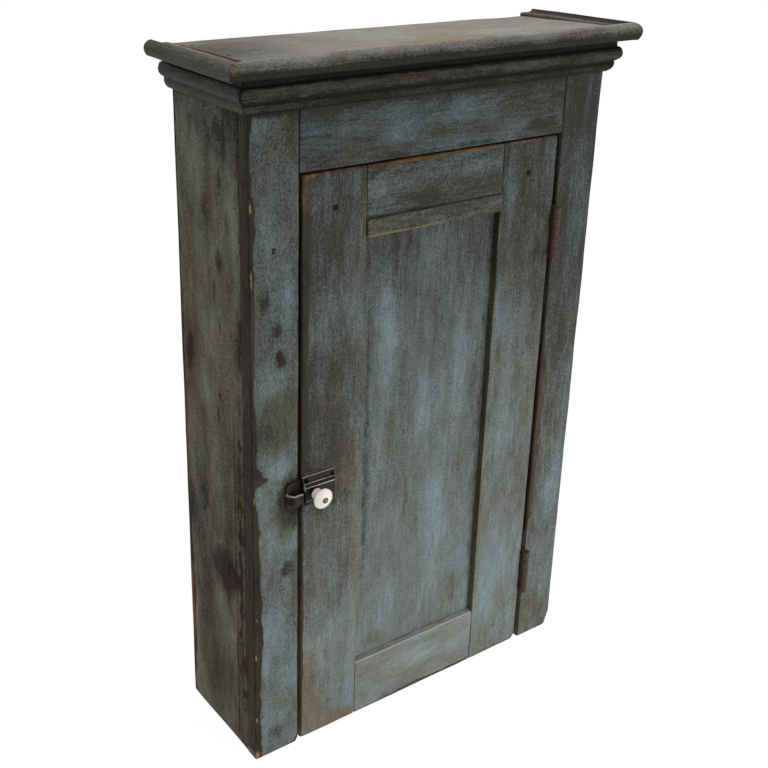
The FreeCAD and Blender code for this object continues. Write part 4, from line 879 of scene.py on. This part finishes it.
def topReturns():
    run = np.linspace(0, 1, topReturn["rings"])[:, None]
    for side, strip in returnSides.items():
        loop, lost = capLoop(strip["height"], cornice["width"], 0, topReturn["flatStep"])
        out, up = loop.T[:, None]
        x = strip["sign"] * (cornice["half"] + cornice[side] + out)
        y = run * (cornice["frontY"] - cornice["front"] - out + topReturn["short"])
        fallen = up * (1 - (1 - run) * strip["drop"] / strip["height"])
        points = inMetres(x, y, lifted(x, cornice["capFoot"] + fallen))
        upper = np.tile(up[0] > cap["upperFrom"], topReturn["rings"])
        sway(points, 2, -topReturn["swayBy"], topReturn["swaySize"], strip["seed"], where=upper)
        look = {**topReturn, "node": side + "_top_return", "seed": strip["seed"],
                "marks": strip["marks"], "paint": {**topReturn["paint"], **strip["paint"]}}
        sweptPiece("%sReturnPiece" % side, look, points, lost)


bedMouldings()
topBoardPiece()
topReturns()
print("cornice made")

# finishes of the pieces that keep their frame shapes, and the nodes that wear them
hingeIron = ["%s_hinge_%s" % (place, piece) for place in ("upper", "lower")
             for piece in ("case_leaf", "door_leaf", "pin")]
finishes = [
    (barePine("planedPineDarkened", 2, "#5a4632", "#3b2d21"),
     ["back_board_left", "back_board_middle", "back_board_right"]),
    (barePine("planedPineShelf", 0, "#5f4a35", "#43331f"),
     ["case_bottom", "lower_shelf", "upper_shelf", "hanging_rail"]),
    (agedIron("rustedHingeIron", "#33251f", "#503a2f", grain=3, rough=0.75, metallic=0.3,
              relief=0.6), [*hingeIron, "case_hinge_screws", "door_hinge_screws"]),
    # painted highlights: each edge is a pale line along a ridge or end of the latch case
    (japannedIron("japannedCastIron", "#0c0b0a", "#191613", [
        ((0, -157.5, -418), (0, 1, 1), 0.6), ((0, -162, -424.5), (0, 1, 1), 0.6),
        ((0, -165, -428.5), (0, 1, 1), 0.75), ((0, -165, -445.5), (0, 1, 1), 0.4),
        ((-178.5, -165, -428.5), (1, 0.12, 0.12), 0.6)]),
     ["latch_case", "latch_bolt", "knob_spindle", "latch_screws"]),
    # painted highlights along the hook's rim and at its left end
    (japannedIron("japannedKeeperIron", "#17100c", "#231912", [
        ((0, -163.5, -434), (0, 0.15, 1), 0.8), ((-199, -163, -434), (0.5, 0.25, 0.7), 2.2)]),
     ["keeper", "keeper_screws"]),
    (paintedPeg("paintedOakPeg", "#666b68", "#171715", "#3f3027"), ["door_pegs"]),
    (agedIron("paintedNailIron", "#3f403b", "#575a55", grain=2, rough=0.8, metallic=0.1,
              relief=0.5), ["frame_nails", "back_nails", "rail_strip_brads"]),
    (agedIron("dustyNailIron", "#5d5a54", "#726e66", grain=2, rough=0.85, metallic=0,
              relief=0.4), ["top_nails"]),
    (agedIron("brownRivetIron", "#54392e", "#7d5c4b", grain=2, rough=0.32, metallic=0.8,
              relief=0.3), ["knob_rivet"]),
    (agedIron("glazedPorcelain", "#fdf7e6", "#fffdf2", grain=9, rough=0.14, metallic=0,
              relief=0.02), ["porcelain_knob"])]
for material, names in finishes:
    for nodeName in names:
        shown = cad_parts[nodeName]
        shown.data.materials.clear()
        shown.data.materials.append(material)
print("finishes given")

# Stage: a pale floor that reads white to the camera and still takes a soft shadow.
stage = {"floorSize": 4, "floorColour": "#f4f4f4", "whiteShare": 0.9, "glow": 1.075,
         "fill": 0.42, "white": (1, 1, 1, 1)}


def seenRays(tree):
    # 1 for rays that the camera sees by, straight or in gloss or glass
    path = put(tree, "LightPath", {}).outputs
    seen = combine(tree, "MAXIMUM", path["Is Camera Ray"], path["Is Glossy Ray"])
    return combine(tree, "MAXIMUM", seen, path["Is Transmission Ray"])


def makeStage():
    mesh = bpy.data.meshes.new("floor")
    half = stage["floorSize"]
    corners = ((-half, -half), (half, -half), (half, half), (-half, half))
    mesh.from_pydata([(x, y, corner[2]) for x, y in corners], [], [(0, 1, 2, 3)])
    placed("floor", mesh)
    material, tree = newMaterial("palePaperFloor")
    share = combine(tree, "MULTIPLY", seenRays(tree), stage["whiteShare"])
    paper = put(tree, "BsdfDiffuse", {"Color": linear(stage["floorColour"])})
    white = put(tree, "Emission", {"Color": stage["white"], "Strength": stage["glow"]})
    both = put(tree, "MixShader", {0: share, 1: paper.outputs[0], 2: white.outputs[0]})
    put(tree, "OutputMaterial", {"Surface": both.outputs[0]})
    mesh.materials.append(material)

    world = bpy.data.worlds.new("studio")
    scene.world = world
    world.use_nodes = True
    tree = world.node_tree
    tree.nodes.clear()
    strength = ramp(tree, seenRays(tree), 0, 1, stage["fill"], 1)
    sky = put(tree, "Background", {"Color": stage["white"], "Strength": strength})
    put(tree, "OutputWorld", {"Surface": sky.outputs[0]})


makeStage()

lamps = {"lowRight": {"place": (0.30, -0.95, -0.62), "aim": (0.05, -0.156, -0.68), "size": 0.5,
                      "power": 3.6},
         "overhead": {"place": (0.1, -0.2, 1.55), "aim": (0, -0.1, 0), "size": 1.2,
                      "power": 14}}
for lampName, lamp in lamps.items():
    data = bpy.data.lights.new(lampName, "AREA")
    data.shape = "SQUARE"
    data.size = lamp["size"]
    data.energy = lamp["power"]
    light = placed(lampName, data)
    light.location = lamp["place"]
    light.visible_camera = False
    aim = Vector(lamp["aim"]) - Vector(lamp["place"])
    light.rotation_euler = aim.to_track_quat("-Z", "Y").to_euler()

# Camera: fitted to the corners of the case in the photograph, angles in degrees.
view = {"place": (-0.79232, -1.10606, 0.23244), "turn": (67.521, -1.461, -35.763),
        "lens": 54.475, "sensor": 36, "shift": (0.0213, -0.0745), "clipStart": 0.05}
lens = bpy.data.cameras.new("photoCamera")
lens.sensor_width = view["sensor"]
lens.lens = view["lens"]
lens.shift_x, lens.shift_y = view["shift"]
lens.clip_start = view["clipStart"]
camera = placed("photoCamera", lens)
camera.location = view["place"]
camera.rotation_euler = [math.radians(angle) for angle in view["turn"]]
scene.camera = camera
scene.view_settings.view_transform = "Standard"
print("stage, lamps and camera set")
